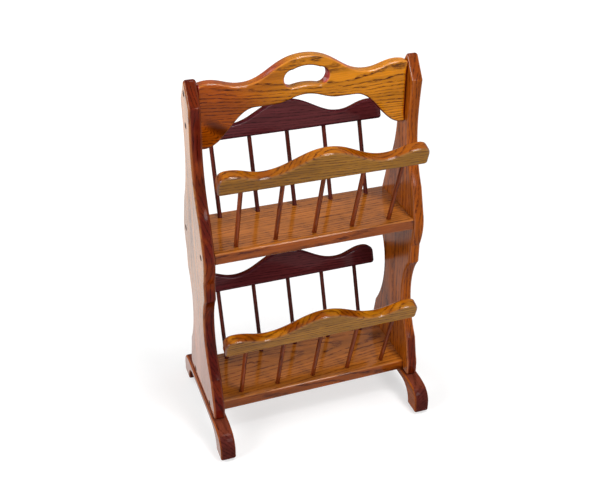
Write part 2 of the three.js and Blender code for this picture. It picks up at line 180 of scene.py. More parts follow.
# Screws and plugs. The dome is insets from a plug's rim and drops from its crown
PLUG_RADIUS = 4.75
PLUG_LENGTH = 6
PLUG_CHAMFER = 0.4
PLUG_DOME = ((0, 0.45), (0.2, 0.2), (0.6, 0.08), (2.75, 0.02))
SCREW_HEAD_HEIGHT = 3
SCREW_SHANK_RADIUS = 2
SCREW_SHANK_LENGTH = 40
SHELF_SCREW_FROM_EDGE = 15
SHELF_SCREW_SPREAD = SHELF_DEPTH / 2 - SHELF_SCREW_FROM_EDGE
HANDLE_SCREW_DROP = 20
HANDLE_SCREW_PITCH = 50
HANDLE_SCREW_TOP = PANEL_TOP - HANDLE_SCREW_DROP
HANDLE_SCREW_HEIGHTS = (HANDLE_SCREW_TOP, HANDLE_SCREW_TOP - HANDLE_SCREW_PITCH)
COUNTERBORE_DEPTH = PLUG_LENGTH + SCREW_HEAD_HEIGHT + 2 * FIT_GAP
SCREW_REACH = COUNTERBORE_DEPTH - FIT_GAP + SCREW_SHANK_LENGTH
PILOT_RADIUS = SCREW_SHANK_RADIUS + FIT_GAP
PILOT_DEPTH = SCREW_REACH - BOARD_THICKNESS - GLUE_LINE + FIT_GAP

# Curves: the share of a scallop's run that stays level at its ends, the same at the handle's crown, and
# the share of a quarter arc's radius from its corner to the control points of the curve that draws it
SCALLOP_PULL = 0.4
CROWN_PULL = 0.5
ARC_PULL = 0.4477

# Fineness of the meshes
CURVE_STEPS = 22
CORNER_STEPS = 8
EDGE_STEPS = 5
ROUND_STEPS = 32
HANDLE_END_STEPS = 20
HAND_HOLE_STEPS = 20
SPINDLE_STEPS = 12
GLIDE_RIM_STEPS = 6
FACE_MARGIN = 0.4
ON_AXIS = 1e-6
LEAST_CORNER = math.radians(14)
LEAST_CREASE = math.radians(33)


# Drawing

def curve_points(controls, steps=CURVE_STEPS):
    """Points along a curve of two, three or four control points, without its first."""
    found = []
    for i in range(1, steps + 1):
        layer = [Vector(c) for c in controls]
        while len(layer) > 1:
            layer = [a.lerp(b, i / steps) for a, b in zip(layer, layer[1:])]
        found.append(layer[0])
    return found


class Half:
    """Half of an outline, at x >= 0, drawn piece by piece."""

    def __init__(self, x, y):
        self.points = [Vector((x, y))]

    def line(self, x, y):
        self.points.append(Vector((x, y)))

    def curve(self, *controls):
        self.points += curve_points([self.points[-1], *controls])

    def scallop(self, x, y, start_pull=SCALLOP_PULL):
        """A curve that is level at both ends."""
        start = self.points[-1]
        run = x - start.x
        self.curve((start.x + run * start_pull, start.y), (x - run * SCALLOP_PULL, y), (x, y))

    def whole(self):
        """The closed outline, with its mirror image."""
        other = [Vector((-p.x, p.y)) for p in self.points if p.x > ON_AXIS]
        return anticlockwise(self.points + other[::-1])


def anticlockwise(points):
    """The closed outline with the wood on its left."""
    area = sum(a.cross(b) for a, b in zip(points, points[1:] + points[:1]))
    return points if area > 0 else points[::-1]


def walk(points, start, step, distance):
    """The point at a distance along an outline from one of its corners, and the corners passed."""
    corner = start
    here = points[start]
    passed = set()
    while True:
        corner = (corner + step) % len(points)
        edge = points[corner] - here
        if edge.length >= distance:
            return here + edge * (distance / edge.length), passed
        distance -= edge.length
        passed.add(corner)
        here = points[corner]


def softened(points, radius):
    """The closed outline with its sharp corners rounded."""
    arcs = {}
    dropped = set()
    for i, corner in enumerate(points):
        before = corner - points[i - 1]
        after = points[(i + 1) % len(points)] - corner
        bend = abs(before.angle_signed(after))
        if bend < LEAST_CORNER:
            continue
        reach = radius * math.tan(bend / 2)
        start, passed_back = walk(points, i, -1, reach)
        end, passed_on = walk(points, i, 1, reach)
        pull = 4 / 3 * math.tan(bend / 4) / math.tan(bend / 2)
        controls = [start, start.lerp(corner, pull), end.lerp(corner, pull), end]
        arcs[i] = [start] + curve_points(controls, CORNER_STEPS)
        dropped |= passed_back | passed_on
    result = []
    for i, point in enumerate(points):
        if i in arcs:
            result += arcs[i]
        elif i not in dropped:
            result.append(point)
    return result


def inward(points):
    """The way into the wood at every corner of a closed outline, for one step of inset."""
    ways = []
    for i, point in enumerate(points):
        a = (point - points[i - 1]).normalized()
        b = (points[(i + 1) % len(points)] - point).normalized()
        ways.append(Vector((-a.y - b.y, a.x + b.x)) / (1 + a.dot(b)))
    return ways


# Mesh making

def edge_rings():
    """Side, turn and extra inset of the rings round a board with rounded edges, from low to high."""
    rings = [(QUARTER_TURN * k / EDGE_STEPS, 0) for k in range(EDGE_STEPS + 1)]
    rings.append((QUARTER_TURN, FACE_MARGIN))
    return [(-1, *ring) for ring in rings[::-1]] + [(1, *ring) for ring in rings]


def close(bm, loops, up):
    """Fills the flat end between an outline and its holes."""
    if len(loops) == 1:
        bm.faces.new(loops[0] if up else loops[0][::-1])
        return
    ring = [vertex for loop in loops for vertex in loop]
    for triangle in tessellate_polygon([[v.co for v in loop] for loop in loops]):
        corners = [ring[i] for i in triangle]
        normal = (corners[1].co - corners[0].co).cross(corners[2].co - corners[0].co)
        bm.faces.new(corners if (normal.z > 0) == up else corners[::-1])


def finished(bm, name):
    """A mesh of what was built, in metres."""
    mesh = bpy.data.meshes.new(name)
    bmesh.ops.scale(bm, vec=(MM, MM, MM), verts=bm.verts)
    bm.to_mesh(mesh)
    bm.free()
    return mesh


def board_mesh(name, loops, thickness, radius_at):
    """A board of an outline and any holes, centred on its thickness. radius_at gives its edges' rounding."""
    bm = bmesh.new()
    bottoms = []
    tops = []
    for loop in loops:
        rings = []
        ways = inward(loop)
        for side, angle, margin in edge_rings():
            ring = []
            for point, way in zip(loop, ways):
                radius = radius_at(point)
                across = point + way * (radius * (1 - math.cos(angle)) + margin)
                height = side * (thickness / 2 - radius * (1 - math.sin(angle)))
                ring.append(bm.verts.new((across.x, across.y, height)))
            rings.append(ring)
        for low, high in zip(rings, rings[1:]):
            for i in range(len(loop)):
                bm.faces.new((low[i - 1], low[i], high[i], high[i - 1]))
        bottoms.append(rings[0])
        tops.append(rings[-1])
    close(bm, bottoms, False)
    close(bm, tops, True)
    return finished(bm, name)


def turn(bm, profile, matrix=Matrix()):
    """Adds a turned shape about local Z, from radii and heights that rise from pole to pole."""
    rings = []
    for radius, height in profile:
        count = ROUND_STEPS if radius else 1
        ring = []
        for k in range(count):
            angle = 2 * math.pi * k / count
            point = Vector((radius * math.cos(angle), radius * math.sin(angle), height))
            ring.append(bm.verts.new(matrix @ point))
        rings.append(ring)
    for low, high in zip(rings, rings[1:]):
        for k in range(ROUND_STEPS):
            if len(low) == 1:
                corners = (low[0], high[k], high[k - 1])
            elif len(high) == 1:
                corners = (low[k - 1], low[k], high[0])
            else:
                corners = (low[k - 1], low[k], high[k], high[k - 1])
            bm.faces.new(corners)


def turned_mesh(name, profile):
    """A turned piece."""
    bm = bmesh.new()
    turn(bm, profile)
    return finished(bm, name)


def drill(bm, radius, length, matrix):
    """Adds a drill of a length on both sides of its point."""
    turn(bm, [(0, -length), (radius, -length), (radius, length), (0, length)], matrix)


def block(bm, middle, size):
    """Adds a block of a size about its middle."""
    bmesh.ops.create_cube(bm, size=1, matrix=Matrix.Translation(middle) @ Matrix.Diagonal((*size, 1)))


def combined(mesh, built, operation):
    """The mesh with what was built taken out of it, at DIFFERENCE, or made one with it, at UNION."""
    blank = bpy.data.objects.new("blank", mesh)
    tool = bpy.data.objects.new("tool", finished(built, "tool"))
    for each in (blank, tool):
        bpy.context.scene.collection.objects.link(each)
    step = blank.modifiers.new("combine", "BOOLEAN")
    step.operation = operation
    step.solver = "EXACT"
    step.object = tool
    graph = bpy.context.evaluated_depsgraph_get()
    result = bpy.data.meshes.new_from_object(blank.evaluated_get(graph))
    result.name = mesh.name
    for each in (blank, tool):
        data = each.data
        bpy.data.objects.remove(each)
        bpy.data.meshes.remove(data)
    return result


def placing(x, y, z, rotation=(0, 0, 0)):
    """A placing matrix, in the unit of its numbers."""
    return Matrix.Translation((x, y, z)) @ Euler(rotation).to_matrix().to_4x4()


def put(name, make_mesh, matrix, material, node):
    """Makes a finished piece and places it in the rack, in place of a plain node."""
    mesh = make_mesh(name)
    piece = bpy.data.objects.new(name, mesh)
    bpy.context.scene.collection.objects.link(piece)
    place = matrix.copy()
    place.translation *= MM
    piece.matrix_world = place
    mesh.materials.clear()
    mesh.materials.append(material)
    mesh.polygons.foreach_set("use_smooth", [True] * len(mesh.polygons))
    mesh.set_sharp_from_angle(angle=LEAST_CREASE)
    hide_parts(node)
    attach(piece, "root")


# Shader nodes

class Nodes:
    """Short calls that place nodes in a tree and join them."""

    def __init__(self, tree):
        self.tree = tree

    def add(self, kind, inputs=None, **settings):
        node = self.tree.nodes.new(kind)
        for name, value in settings.items():
            setattr(node, name, value)
        for key, value in (inputs or {}).items():
            self.feed(node.inputs[key], value)
        return node

    def feed(self, socket, value):
        if isinstance(value, bpy.types.NodeSocket):
            self.tree.links.new(value, socket)
        else:
            socket.default_value = value

    def group(self, tree, inputs):
        return self.add("ShaderNodeGroup", inputs, node_tree=tree).outputs

    def math(self, operation, a, b=0.0, clamp=False):
        return self.add("ShaderNodeMath", {0: a, 1: b}, operation=operation, use_clamp=clamp).outputs[0]

    def vector(self, operation, a, b=(0, 0, 0)):
        node = self.add("ShaderNodeVectorMath", {0: a}, operation=operation)
        self.feed(node.inputs["Scale" if operation == "SCALE" else 1], b)
        return node.outputs["Value" if operation in ("LENGTH", "DOT_PRODUCT") else "Vector"]

    def noise(self, vector, stretch, detail=2.0, roughness=0.5, output="Fac"):
        """Noise with its own scale along each axis, in cells per metre."""
        scaled = self.vector("MULTIPLY", vector, stretch)
        inputs = {"Vector": scaled, "Scale": 1.0, "Detail": detail, "Roughness": roughness}
        return self.add("ShaderNodeTexNoise", inputs).outputs[output]

    def span(self, value, low, high, to_low=0.0, to_high=1.0):
        """A smooth step from one level to another, while the value goes from low to high."""
        inputs = {0: value, 1: low, 2: high, 3: to_low, 4: to_high}
        return self.add("ShaderNodeMapRange", inputs, interpolation_type="SMOOTHSTEP").outputs[0]

    def between(self, share, a, b):
        return self.add("ShaderNodeMix", {0: share, 2: a, 3: b}).outputs[0]

    def blend(self, share, a, b, mode="MIX"):
        node = self.add("ShaderNodeMix", data_type="RGBA", blend_type=mode)
        for key, value in ((0, share), (6, a), (7, b)):
            self.feed(node.inputs[key], value)
        return node.outputs[2]

    def tinted(self, share, colour, tint):
        """The colour, with a share of it multiplied by a tint."""
        return self.blend(share, colour, self.blend(1.0, colour, tint, "MULTIPLY"))

    def bump(self, height, strength, distance, inputs=None):
        settings = {"Strength": strength, "Distance": distance, "Height": height, **(inputs or {})}
        return self.add("ShaderNodeBump", settings).outputs[0]


def new_group(name, inputs, outputs):
    """An empty shader group. Its sockets are named under the kind that they are."""
    tree = bpy.data.node_groups.new(name, "ShaderNodeTree")
    for in_out, sockets in (("INPUT", inputs), ("OUTPUT", outputs)):
        for kind, names in sockets.items():
            for socket in names:
                tree.interface.new_socket(socket, in_out=in_out, socket_type="NodeSocket" + kind)
    nodes = Nodes(tree)
    return tree, nodes, nodes.add("NodeGroupInput").outputs, nodes.add("NodeGroupOutput").inputs


# Oak grain: noise in cells per metre along and across the grain, lengths in metres. A step is where a
# value starts and stops to count, with the levels that it goes between

SLOW_SWAY = (2.4, 9, 9)
SLOW_SWAY_REACH = 0.026
QUICK_SWAY = (44, 120, 120)
QUICK_SWAY_REACH = 0.0034
NOISE_MIDDLE = 0.5
KNOT_SLANT = math.radians(38)
KNOT_STRETCH = (0.3, 1, 0.4)
KNOT_FALL = 0.37
KNOT_SWERVE = 1.1
KNOT_DARKNESS = 0.9
SEASONS_PER_METRE = 70.0
SEASON_SHIFT = 1.3
RING_STOPS = ((0.0, 0.35), (0.07, 1.0), (0.2, 0.9), (0.36, 0.15), (0.6, 0.0), (0.93, 0.0), (1.0, 0.35))
BOLD_YEARS = (0.4, 120, 120)
BOLD_YEAR_STEP = (0.35, 0.65, 0.55, 1.0)
PORE_ROWS = (75, 480, 480)
PORE_ROW_STEP = (0.4, 0.56, 0.2, 1.15)
PORES = (60, 1300, 1300)
PORE_STEP = (0.56, 0.68)
PORE_RING_STEP = (0.0, 0.8, 0.2, 1.0)
PORE_SHARE = 0.8
STREAKS = (5, 150, 150)
STREAK_STEP = (0.34, 0.66)
STREAK_SHADE = (0.0, 1.0, 1.10, 0.86)
FIBRES = (35, 1500, 1500)
FIBRE_SHADE = (0.25, 0.75, 0.86, 1.12)
FIGURE = (5, 18, 18)
FIGURE_SHADE = (0.3, 0.7, 0.84, 1.14)
PAINTED_SHADE_WAVER = 0.12
SPARED_STEP = (0.3, 0.8, 1.0, 0.0)
FIBRE_HEIGHT = 0.25
RING_HEIGHT = 0.35


def grain_sway(n, vector):
    """How far the grain strays from straight."""
    middle = (NOISE_MIDDLE, NOISE_MIDDLE, NOISE_MIDDLE)
    slow = n.vector("SUBTRACT", n.noise(vector, SLOW_SWAY, detail=2.0, output="Color"), middle)
    quick = n.vector("SUBTRACT", n.noise(vector, QUICK_SWAY, detail=3.0, output="Color"), middle)
    slow = n.vector("SCALE", slow, SLOW_SWAY_REACH)
    return n.vector("ADD", slow, n.vector("SCALE", quick, QUICK_SWAY_REACH))


def knot_mask(n, away, size):
    """1 in the middle of a slanting knot, and 0 outside it."""
    turned = n.add("ShaderNodeVectorRotate", {"Vector": away, "Angle": KNOT_SLANT}, rotation_type="Z_AXIS")
    near = n.vector("LENGTH", n.vector("MULTIPLY", turned.outputs[0], KNOT_STRETCH))
    near = n.math("DIVIDE", near, size)
    near = n.math("MULTIPLY", near, near)
    return n.math("POWER", KNOT_FALL, n.math("MULTIPLY", near, near))


def ring_mask(n, reach, width):
    """1 in the early wood of each year's ring, at a distance from the pith."""
    inputs = {"W": n.math("MULTIPLY", reach, SEASONS_PER_METRE), "Scale": 1.0, "Detail": 1.0}
    seasons = n.add("ShaderNodeTexNoise", inputs, noise_dimensions="1D").outputs["Fac"]
    years = n.math("ADD", n.math("DIVIDE", reach, width), n.math("MULTIPLY", seasons, SEASON_SHIFT))
    ring = n.add("ShaderNodeValToRGB", {0: n.math("FRACT", years)})
    ramp = ring.color_ramp
    ramp.interpolation = "EASE"
    while len(ramp.elements) < len(RING_STOPS):
        ramp.elements.new(0.5)
    for element, (position, value) in zip(ramp.elements, RING_STOPS):
        element.position = position
        element.color = (value, value, value, 1)
    return ring.outputs[0]


def oak_grain_group():
    """Growth rings with their rows of open pores and a knot of oak, and painted shade that darkens the board
    towards one end, along X of the vector.
    """
    tree, n, given, out = new_group(
        "Oak grain",
        {"Vector": ("Vector", "Normal", "Pith", "Tilt", "Spared faces", "Knot"),
         "Color": ("Late wood", "Early wood", "Pore", "Painted shade tint"),
         "Float": ("Ring width", "Painted shade start", "Painted shade end", "Knot size")},
        {"Color": ("Color",), "Float": ("Pores", "Height")},
    )
    vector = given["Vector"]
    along = n.add("ShaderNodeSeparateXYZ", {0: vector}).outputs[0]
    sway = grain_sway(n, vector)
    section = n.vector("ADD", n.vector("SUBTRACT", vector, given["Pith"]), sway)
    section = n.vector("ADD", section, n.vector("SCALE", given["Tilt"], along))
    reach = n.vector("LENGTH", n.vector("MULTIPLY", section, (0, 1, 1)))
    from_knot = n.vector("SUBTRACT", n.vector("ADD", vector, sway), given["Knot"])
    knot = knot_mask(n, from_knot, given["Knot size"])
    swerve = n.math("MULTIPLY", knot, n.math("MULTIPLY", given["Knot size"], KNOT_SWERVE))
    ring = ring_mask(n, n.math("ADD", reach, swerve), given["Ring width"])
    bold = n.span(n.noise(section, BOLD_YEARS, detail=1.0), *BOLD_YEAR_STEP)
    dashes = n.span(n.noise(vector, PORE_ROWS, detail=2.0, roughness=0.6), *PORE_ROW_STEP)
    broken = n.math("MULTIPLY", n.math("MULTIPLY", ring, bold), dashes)
    streaks = n.span(n.noise(vector, STREAKS, detail=3.0, roughness=0.6), *STREAK_STEP)
    fibre = n.noise(vector, FIBRES, detail=2.0)
    pores = n.span(n.noise(vector, PORES, detail=1.0), *PORE_STEP)
    pores = n.math("MULTIPLY", pores, n.span(ring, *PORE_RING_STEP))
    figure = n.noise(vector, FIGURE, detail=2.0)
    dark = n.math("MAXIMUM", broken, n.math("MULTIPLY", knot, KNOT_DARKNESS))
    wood = n.blend(dark, given["Late wood"], given["Early wood"])
    shade = n.math("MULTIPLY", n.span(figure, *FIGURE_SHADE), n.span(fibre, *FIBRE_SHADE))
    shade = n.math("MULTIPLY", shade, n.span(streaks, *STREAK_SHADE))
    grey = n.add("ShaderNodeCombineColor", {0: shade, 1: shade, 2: shade}).outputs[0]
    wood = n.blend(1.0, wood, grey, "MULTIPLY")
    # Painted shade: a tint that darkens the board from where it starts to where it ends along the grain, but
    # not the spared faces
    waver = n.math("MULTIPLY", n.math("SUBTRACT", figure, NOISE_MIDDLE), PAINTED_SHADE_WAVER)
    painted_shade = n.span(n.math("ADD", along, waver), given["Painted shade start"], given["Painted shade end"])
    spared = n.math("ABSOLUTE", n.vector("DOT_PRODUCT", given["Normal"], given["Spared faces"]))
    painted_shade = n.math("MULTIPLY", painted_shade, n.span(spared, *SPARED_STEP))
    wood = n.tinted(painted_shade, wood, given["Painted shade tint"])
    wood = n.blend(n.math("MULTIPLY", pores, PORE_SHARE), wood, given["Pore"])
    height = n.math("SUBTRACT", n.math("MULTIPLY", fibre, FIBRE_HEIGHT), pores)
    height = n.math("SUBTRACT", height, n.math("MULTIPLY", broken, RING_HEIGHT))
    for name, value in (("Color", wood), ("Pores", pores), ("Height", height)):
        n.feed(out[name], value)
    return tree


# Edges, end grain and painted light: patches of wear and of painted dark reflection, and blotches of stain,
# in cells per metre, and steps of how faces look

WEAR_AND_REFLECTION_PATCHES = (35, 120, 120)
WEAR_AND_REFLECTION_STEP = (0.3, 0.7, 0.35, 1.0)
STAIN_BLOTCHES = (22, 22, 22)
BLOTCH_STEP = (0.44, 0.56)
ARRIS_STEP = (0.25, 0.95)
RIM_STEP = (0.25, 0.8, 1.0, 0.0)
END_STEP = (0.25, 0.7)
PAINTED_SIDE_STEP = (0.1, 0.6)


def edges_and_painted_light_group():
    """Rims and end grain that took the stain in their own way, with painted shade on some rims and ends,
    sanded arrises that are a painted dark reflection on the rails, painted light on the faces that look one
    way, and the lacquer on each.
    """
    tree, n, given, out = new_group(
        "Edges, end grain and painted light",
        {"Vector": ("Vector", "Normal", "Across", "Painted side normal"),
         "Color": ("Color", "Rim tint", "Rim patch", "End tint", "Painted side tint", "Edge colour"),
         "Float": ("Edge amount", "Face coat", "Rim coat", "Arris coat", "Painted side coat")},
        {"Color": ("Color",), "Float": ("Coat",)},
    )
    normal = given["Normal"]
    facing = n.math("ABSOLUTE", n.vector("DOT_PRODUCT", normal, given["Across"]))
    aside = n.math("SQRT", n.math("SUBTRACT", 1.0, n.math("MULTIPLY", facing, facing), clamp=True))
    arris = n.span(n.math("MULTIPLY", n.math("MULTIPLY", facing, aside), 2.0), *ARRIS_STEP)
    # The arris colour: wear on most boards, and on the rails a painted dark reflection
    wear_and_reflection_patches = n.span(n.noise(given["Vector"], WEAR_AND_REFLECTION_PATCHES, detail=3.0), *WEAR_AND_REFLECTION_STEP)
    wear_and_dark_reflection = n.math("MULTIPLY", arris, wear_and_reflection_patches)
    rim = n.span(facing, *RIM_STEP)
    blotch = n.span(n.noise(given["Vector"], STAIN_BLOTCHES, detail=1.0), *BLOTCH_STEP)
    rim_tint = n.tinted(blotch, given["Rim tint"], given["Rim patch"])
    end = n.math("ABSOLUTE", n.add("ShaderNodeSeparateXYZ", {0: normal}).outputs[0])
    end = n.span(end, *END_STEP)
    # lower is painted light on the faces that look towards the painted side normal: painted shade on most
    # boards, a painted sheen on the right panel
    lower = n.span(n.vector("DOT_PRODUCT", normal, given["Painted side normal"]), *PAINTED_SIDE_STEP)
    wood = n.tinted(rim, given["Color"], rim_tint)
    wood = n.blend(n.math("MULTIPLY", wear_and_dark_reflection, given["Edge amount"]), wood, given["Edge colour"])
    wood = n.tinted(end, wood, given["End tint"])
    n.feed(out["Color"], n.tinted(lower, wood, given["Painted side tint"]))
    coat = n.between(rim, given["Face coat"], given["Rim coat"])
    coat = n.between(arris, coat, given["Arris coat"])
    n.feed(out["Coat"], n.math("MULTIPLY", coat, n.span(lower, 0.0, 1.0, 1.0, given["Painted side coat"])))
    return tree


# Lacquer: noise in cells per metre along and across the grain

BRUSH_SMEARS = (10, 26, 26)
SMEAR_ROUGHNESS = (0.25, 0.75, -0.06, 0.08)
SMEAR_COAT = (0.2, 0.8, 1.0, 0.86)
ORANGE_PEEL = (160, 260, 260)
ORANGE_PEEL_HEIGHT = 0.35
DUST = (900, 900, 900)
DUST_STEP = (0.76, 0.82)
DUST_HEIGHT = 0.3
PORE_ROUGHNESS = 0.2
PORE_COAT_LOSS = 0.3


def lacquer_group():
    """Brushed lacquer: slow smears in the gloss, a soft orange peel, and specks of dust in the coat."""
    tree, n, given, out = new_group(
        "Lacquer",
        {"Vector": ("Vector",), "Float": ("Roughness", "Coat", "Pores")},
        {"Float": ("Roughness", "Coat", "Height")},
    )
    smear = n.noise(given["Vector"], BRUSH_SMEARS, detail=3.0)
    peel = n.math("MULTIPLY", n.noise(given["Vector"], ORANGE_PEEL, detail=1.0), ORANGE_PEEL_HEIGHT)
    specks = n.span(n.noise(given["Vector"], DUST, detail=0.0), *DUST_STEP)
    rough = n.math("ADD", given["Roughness"], n.span(smear, *SMEAR_ROUGHNESS))
    n.feed(out["Roughness"], n.math("ADD", rough, n.math("MULTIPLY", given["Pores"], PORE_ROUGHNESS)))
    lost = n.math("MULTIPLY", given["Pores"], PORE_COAT_LOSS)
    coat = n.math("SUBTRACT", n.span(smear, *SMEAR_COAT), lost, clamp=True)
    n.feed(out["Coat"], n.math("MULTIPLY", coat, given["Coat"]))
    n.feed(out["Height"], n.math("ADD", peel, n.math("MULTIPLY", specks, DUST_HEIGHT)))
    return tree


OAK_GRAIN = oak_grain_group()
EDGES_AND_PAINTED_LIGHT = edges_and_painted_light_group()
LACQUER = lacquer_group()


# Materials

def colour(red, green, blue):
    """A linear colour from screen values of 0 to 255."""
    def linear(v):
        v /= 255
        return v / 12.92 if v <= 0.04045 else ((v + 0.055) / 1.055) ** 2.4
    return (linear(red), linear(green), linear(blue), 1)


def stain(late, early, pore, edge):
    """The colours that a stain gives to late wood, early wood, pores and arrises, which are worn on most
    boards and a painted dark reflection on the rails.
    """
    return {"late": colour(*late), "early": colour(*early), "pore": colour(*pore), "edge": colour(*edge)}


def tint(red, green, blue):
    """What a colour is multiplied by."""
    return (red, green, blue, 1)


HONEY = stain((196, 120, 12), (78, 32, 0), (60, 25, 0), (206, 126, 20))
# Its edge colour is a painted dark reflection along the front rails' arrises
TOFFEE = stain((162, 108, 22), (98, 54, 6), (64, 30, 4), (92, 44, 4))
# The left panel's stain, lighter and paler than the right panel's as a painted sheen
AMBER_PAINTED_SHEEN = stain((174, 112, 52), (108, 60, 23), (56, 26, 8), (130, 56, 12))
CHESTNUT = stain((167, 96, 31), (100, 46, 9), (60, 25, 4), (190, 110, 26))
RUSSET = stain((156, 80, 14), (92, 38, 2), (50, 18, 2), (190, 98, 20))
BRICK = stain((148, 72, 18), (104, 44, 6), (56, 20, 4), (170, 86, 20))
CHERRY = stain((134, 60, 24), (80, 32, 10), (46, 16, 6), (150, 76, 26))
# The rear spindles' stain, darker than the front spindles' as painted shade
MAROON_PAINTED_SHADE = stain((92, 36, 27), (62, 20, 16), (34, 10, 8), (124, 56, 28))
# The rear rails' stain: darker than the front rails' as painted shade. Its edge colour is a painted dark
# reflection along their arrises
COCOA_WITH_PAINTED_SHADE = stain((140, 72, 24), (96, 42, 12), (52, 18, 6), (96, 42, 20))
UMBER = stain((62, 28, 16), (34, 14, 8), (20, 8, 5), (80, 40, 20))
NO_TINT = tint(1, 1, 1)

# Turns that lay the grain of a board along X
ALONG_X = (0, 0, 0)
ALONG_Y = (0, 0, -QUARTER_TURN)
ALONG_Z = (0, QUARTER_TURN, 0)

# What a board has unless its own look says otherwise. painted_shade is painted shade, a tint with where it
# starts and ends along the grain. knot is a place and a size. lower is the tint of faces that look a given
# way, which paints shade on them, and a sheen on the right panel. coat is the lacquer on faces, rims and
# arrises. A plain board's knot lies far outside it
PLAIN_OAK = {
    "grain": ALONG_X,
    "across": (0, 0, 1),
    "pith": (0, 0.02, -0.03),
    "tilt": (0, 0, 0),
    "ring": 0.005,
    "edge": 0.4,
    "rim": NO_TINT,
    "patch": NO_TINT,
    "end": tint(0.6, 0.45, 0.4),
    "coat": (0.5, 0.5, 1.0),
    "coat_haze": 0.11,
    "painted_shade": (NO_TINT, 0.0, 1.0),
    "spared": (0, 0, 0),
    "knot": ((9, 9, 9), 0.01),
    "lower": ((0, 0, 0), NO_TINT),
    "painted_side_coat": 1.0,
}
OAK_ROUGHNESS = 0.4
COAT_IOR = 1.5
GRAIN_BUMP = (0.22, 0.0003)
LACQUER_BUMP = (0.10, 0.0004)


def new_material(name):
    """An empty material, and the calls that fill it."""
    material = bpy.data.materials.new(name)
    material.use_nodes = True
    material.node_tree.nodes.clear()
    return material, Nodes(material.node_tree)


def shaded(material, n, inputs):
    """The material, with its shader."""
    shader = n.add("ShaderNodeBsdfPrincipled", inputs)
    n.add("ShaderNodeOutputMaterial", {"Surface": shader.outputs[0]})
    return material


def oak(name, tones, shift, **own_look):
    """Lacquered oak for one board. shift picks the piece of the tree that the board was sawn from."""
    look = {**PLAIN_OAK, **own_look}
    painted_shade_tint, painted_shade_start, painted_shade_end = look["painted_shade"]
    knot, knot_size = look["knot"]
    # lower is the painted light on one side of the board: the way that side looks, and its tint
    down, painted_side_tint = look["lower"]
    face_coat, rim_coat, arris_coat = look["coat"]
    material, n = new_material(name)
    place = n.add("ShaderNodeTexCoord").outputs
    sawn = {"Vector": place["Object"], "Location": shift, "Rotation": look["grain"]}
    vector = n.add("ShaderNodeMapping", sawn).outputs[0]
    turned = {"Vector": place["Normal"], "Rotation": look["grain"]}
    normal = n.add("ShaderNodeMapping", turned, vector_type="NORMAL").outputs[0]
    wood = n.group(OAK_GRAIN, {
        "Vector": vector, "Normal": normal, "Pith": tuple(Vector(shift) + Vector(look["pith"])),
        "Tilt": look["tilt"], "Ring width": look["ring"], "Late wood": tones["late"],
        "Early wood": tones["early"], "Pore": tones["pore"], "Painted shade tint": painted_shade_tint,
        "Painted shade start": shift[0] + painted_shade_start, "Painted shade end": shift[0] + painted_shade_end,
        "Spared faces": look["spared"], "Knot": tuple(Vector(shift) + Vector(knot)), "Knot size": knot_size,
    })
    wear_and_dark_reflection = n.group(EDGES_AND_PAINTED_LIGHT, {
        "Color": wood["Color"], "Normal": normal, "Vector": vector, "Across": look["across"],
        "Rim tint": look["rim"], "Rim patch": look["patch"], "End tint": look["end"], "Painted side normal": down,
        "Painted side tint": painted_side_tint, "Edge colour": tones["edge"], "Edge amount": look["edge"],
        "Face coat": face_coat, "Rim coat": rim_coat, "Arris coat": arris_coat,
        "Painted side coat": look["painted_side_coat"],
    })
    lacquer = n.group(LACQUER, {
        "Vector": vector, "Roughness": OAK_ROUGHNESS, "Coat": wear_and_dark_reflection["Coat"], "Pores": wood["Pores"],
    })
    open_grain = n.bump(wood["Height"], *GRAIN_BUMP)
    return shaded(material, n, {
        "Base Color": wear_and_dark_reflection["Color"], "Roughness": lacquer["Roughness"], "Coat Weight": lacquer["Coat"],
        "Coat Roughness": look["coat_haze"], "Coat IOR": COAT_IOR, "Specular IOR Level": 0.0,
        "Normal": n.bump(lacquer["Height"], *LACQUER_BUMP, {"Normal": open_grain}),
    })


PEBBLES = (1400, 1400, 1400)
PEBBLE_BUMP = (0.25, 0.0003)
SCUFFS = (90, 700, 300)
SCUFF_STEP = (0.52, 0.7)
SCUFF_ROUGHNESS = (0.0, 1.0, 0.48, 0.7)
BLACK_PLASTIC = colour(20, 18, 16)
SCUFFED_PLASTIC = colour(66, 62, 57)


def moulded_plastic():
    """Matte black plastic of the glides, scuffed where they slide."""
    material, n = new_material("glide plastic")
    place = n.add("ShaderNodeTexCoord").outputs["Object"]
    scuffs = n.span(n.noise(place, SCUFFS, detail=3.0), *SCUFF_STEP)
    return shaded(material, n, {
        "Base Color": n.blend(scuffs, BLACK_PLASTIC, SCUFFED_PLASTIC),
        "Roughness": n.span(scuffs, *SCUFF_ROUGHNESS),
        "Normal": n.bump(n.noise(place, PEBBLES, detail=2.0), *PEBBLE_BUMP),
    })


TURNING_LINES = (2500, 160, 160)
TURNING_BUMP = (0.15, 0.0002)
TURNING_ROUGHNESS = (0.2, 0.8, 0.28, 0.5)
DULL_PATCHES = (220, 220, 220)
DULL_STEP = (0.4, 0.65)
BRIGHT_ZINC = colour(196, 193, 182)
DULL_ZINC = colour(150, 146, 132)


def zinc_steel():
    """Zinc-plated steel of the screws, with a turned grain and dull patches."""
    material, n = new_material("zinc steel")
    place = n.add("ShaderNodeTexCoord").outputs["Object"]
    lines = n.noise(place, TURNING_LINES, detail=2.0)
    patches = n.span(n.noise(place, DULL_PATCHES, detail=2.0), *DULL_STEP)
    return shaded(material, n, {
        "Base Color": n.blend(patches, BRIGHT_ZINC, DULL_ZINC),
        "Roughness": n.span(lines, *TURNING_ROUGHNESS),
        "Metallic": 1.0,
        "Normal": n.bump(lines, *TURNING_BUMP),
    })


# Side panels

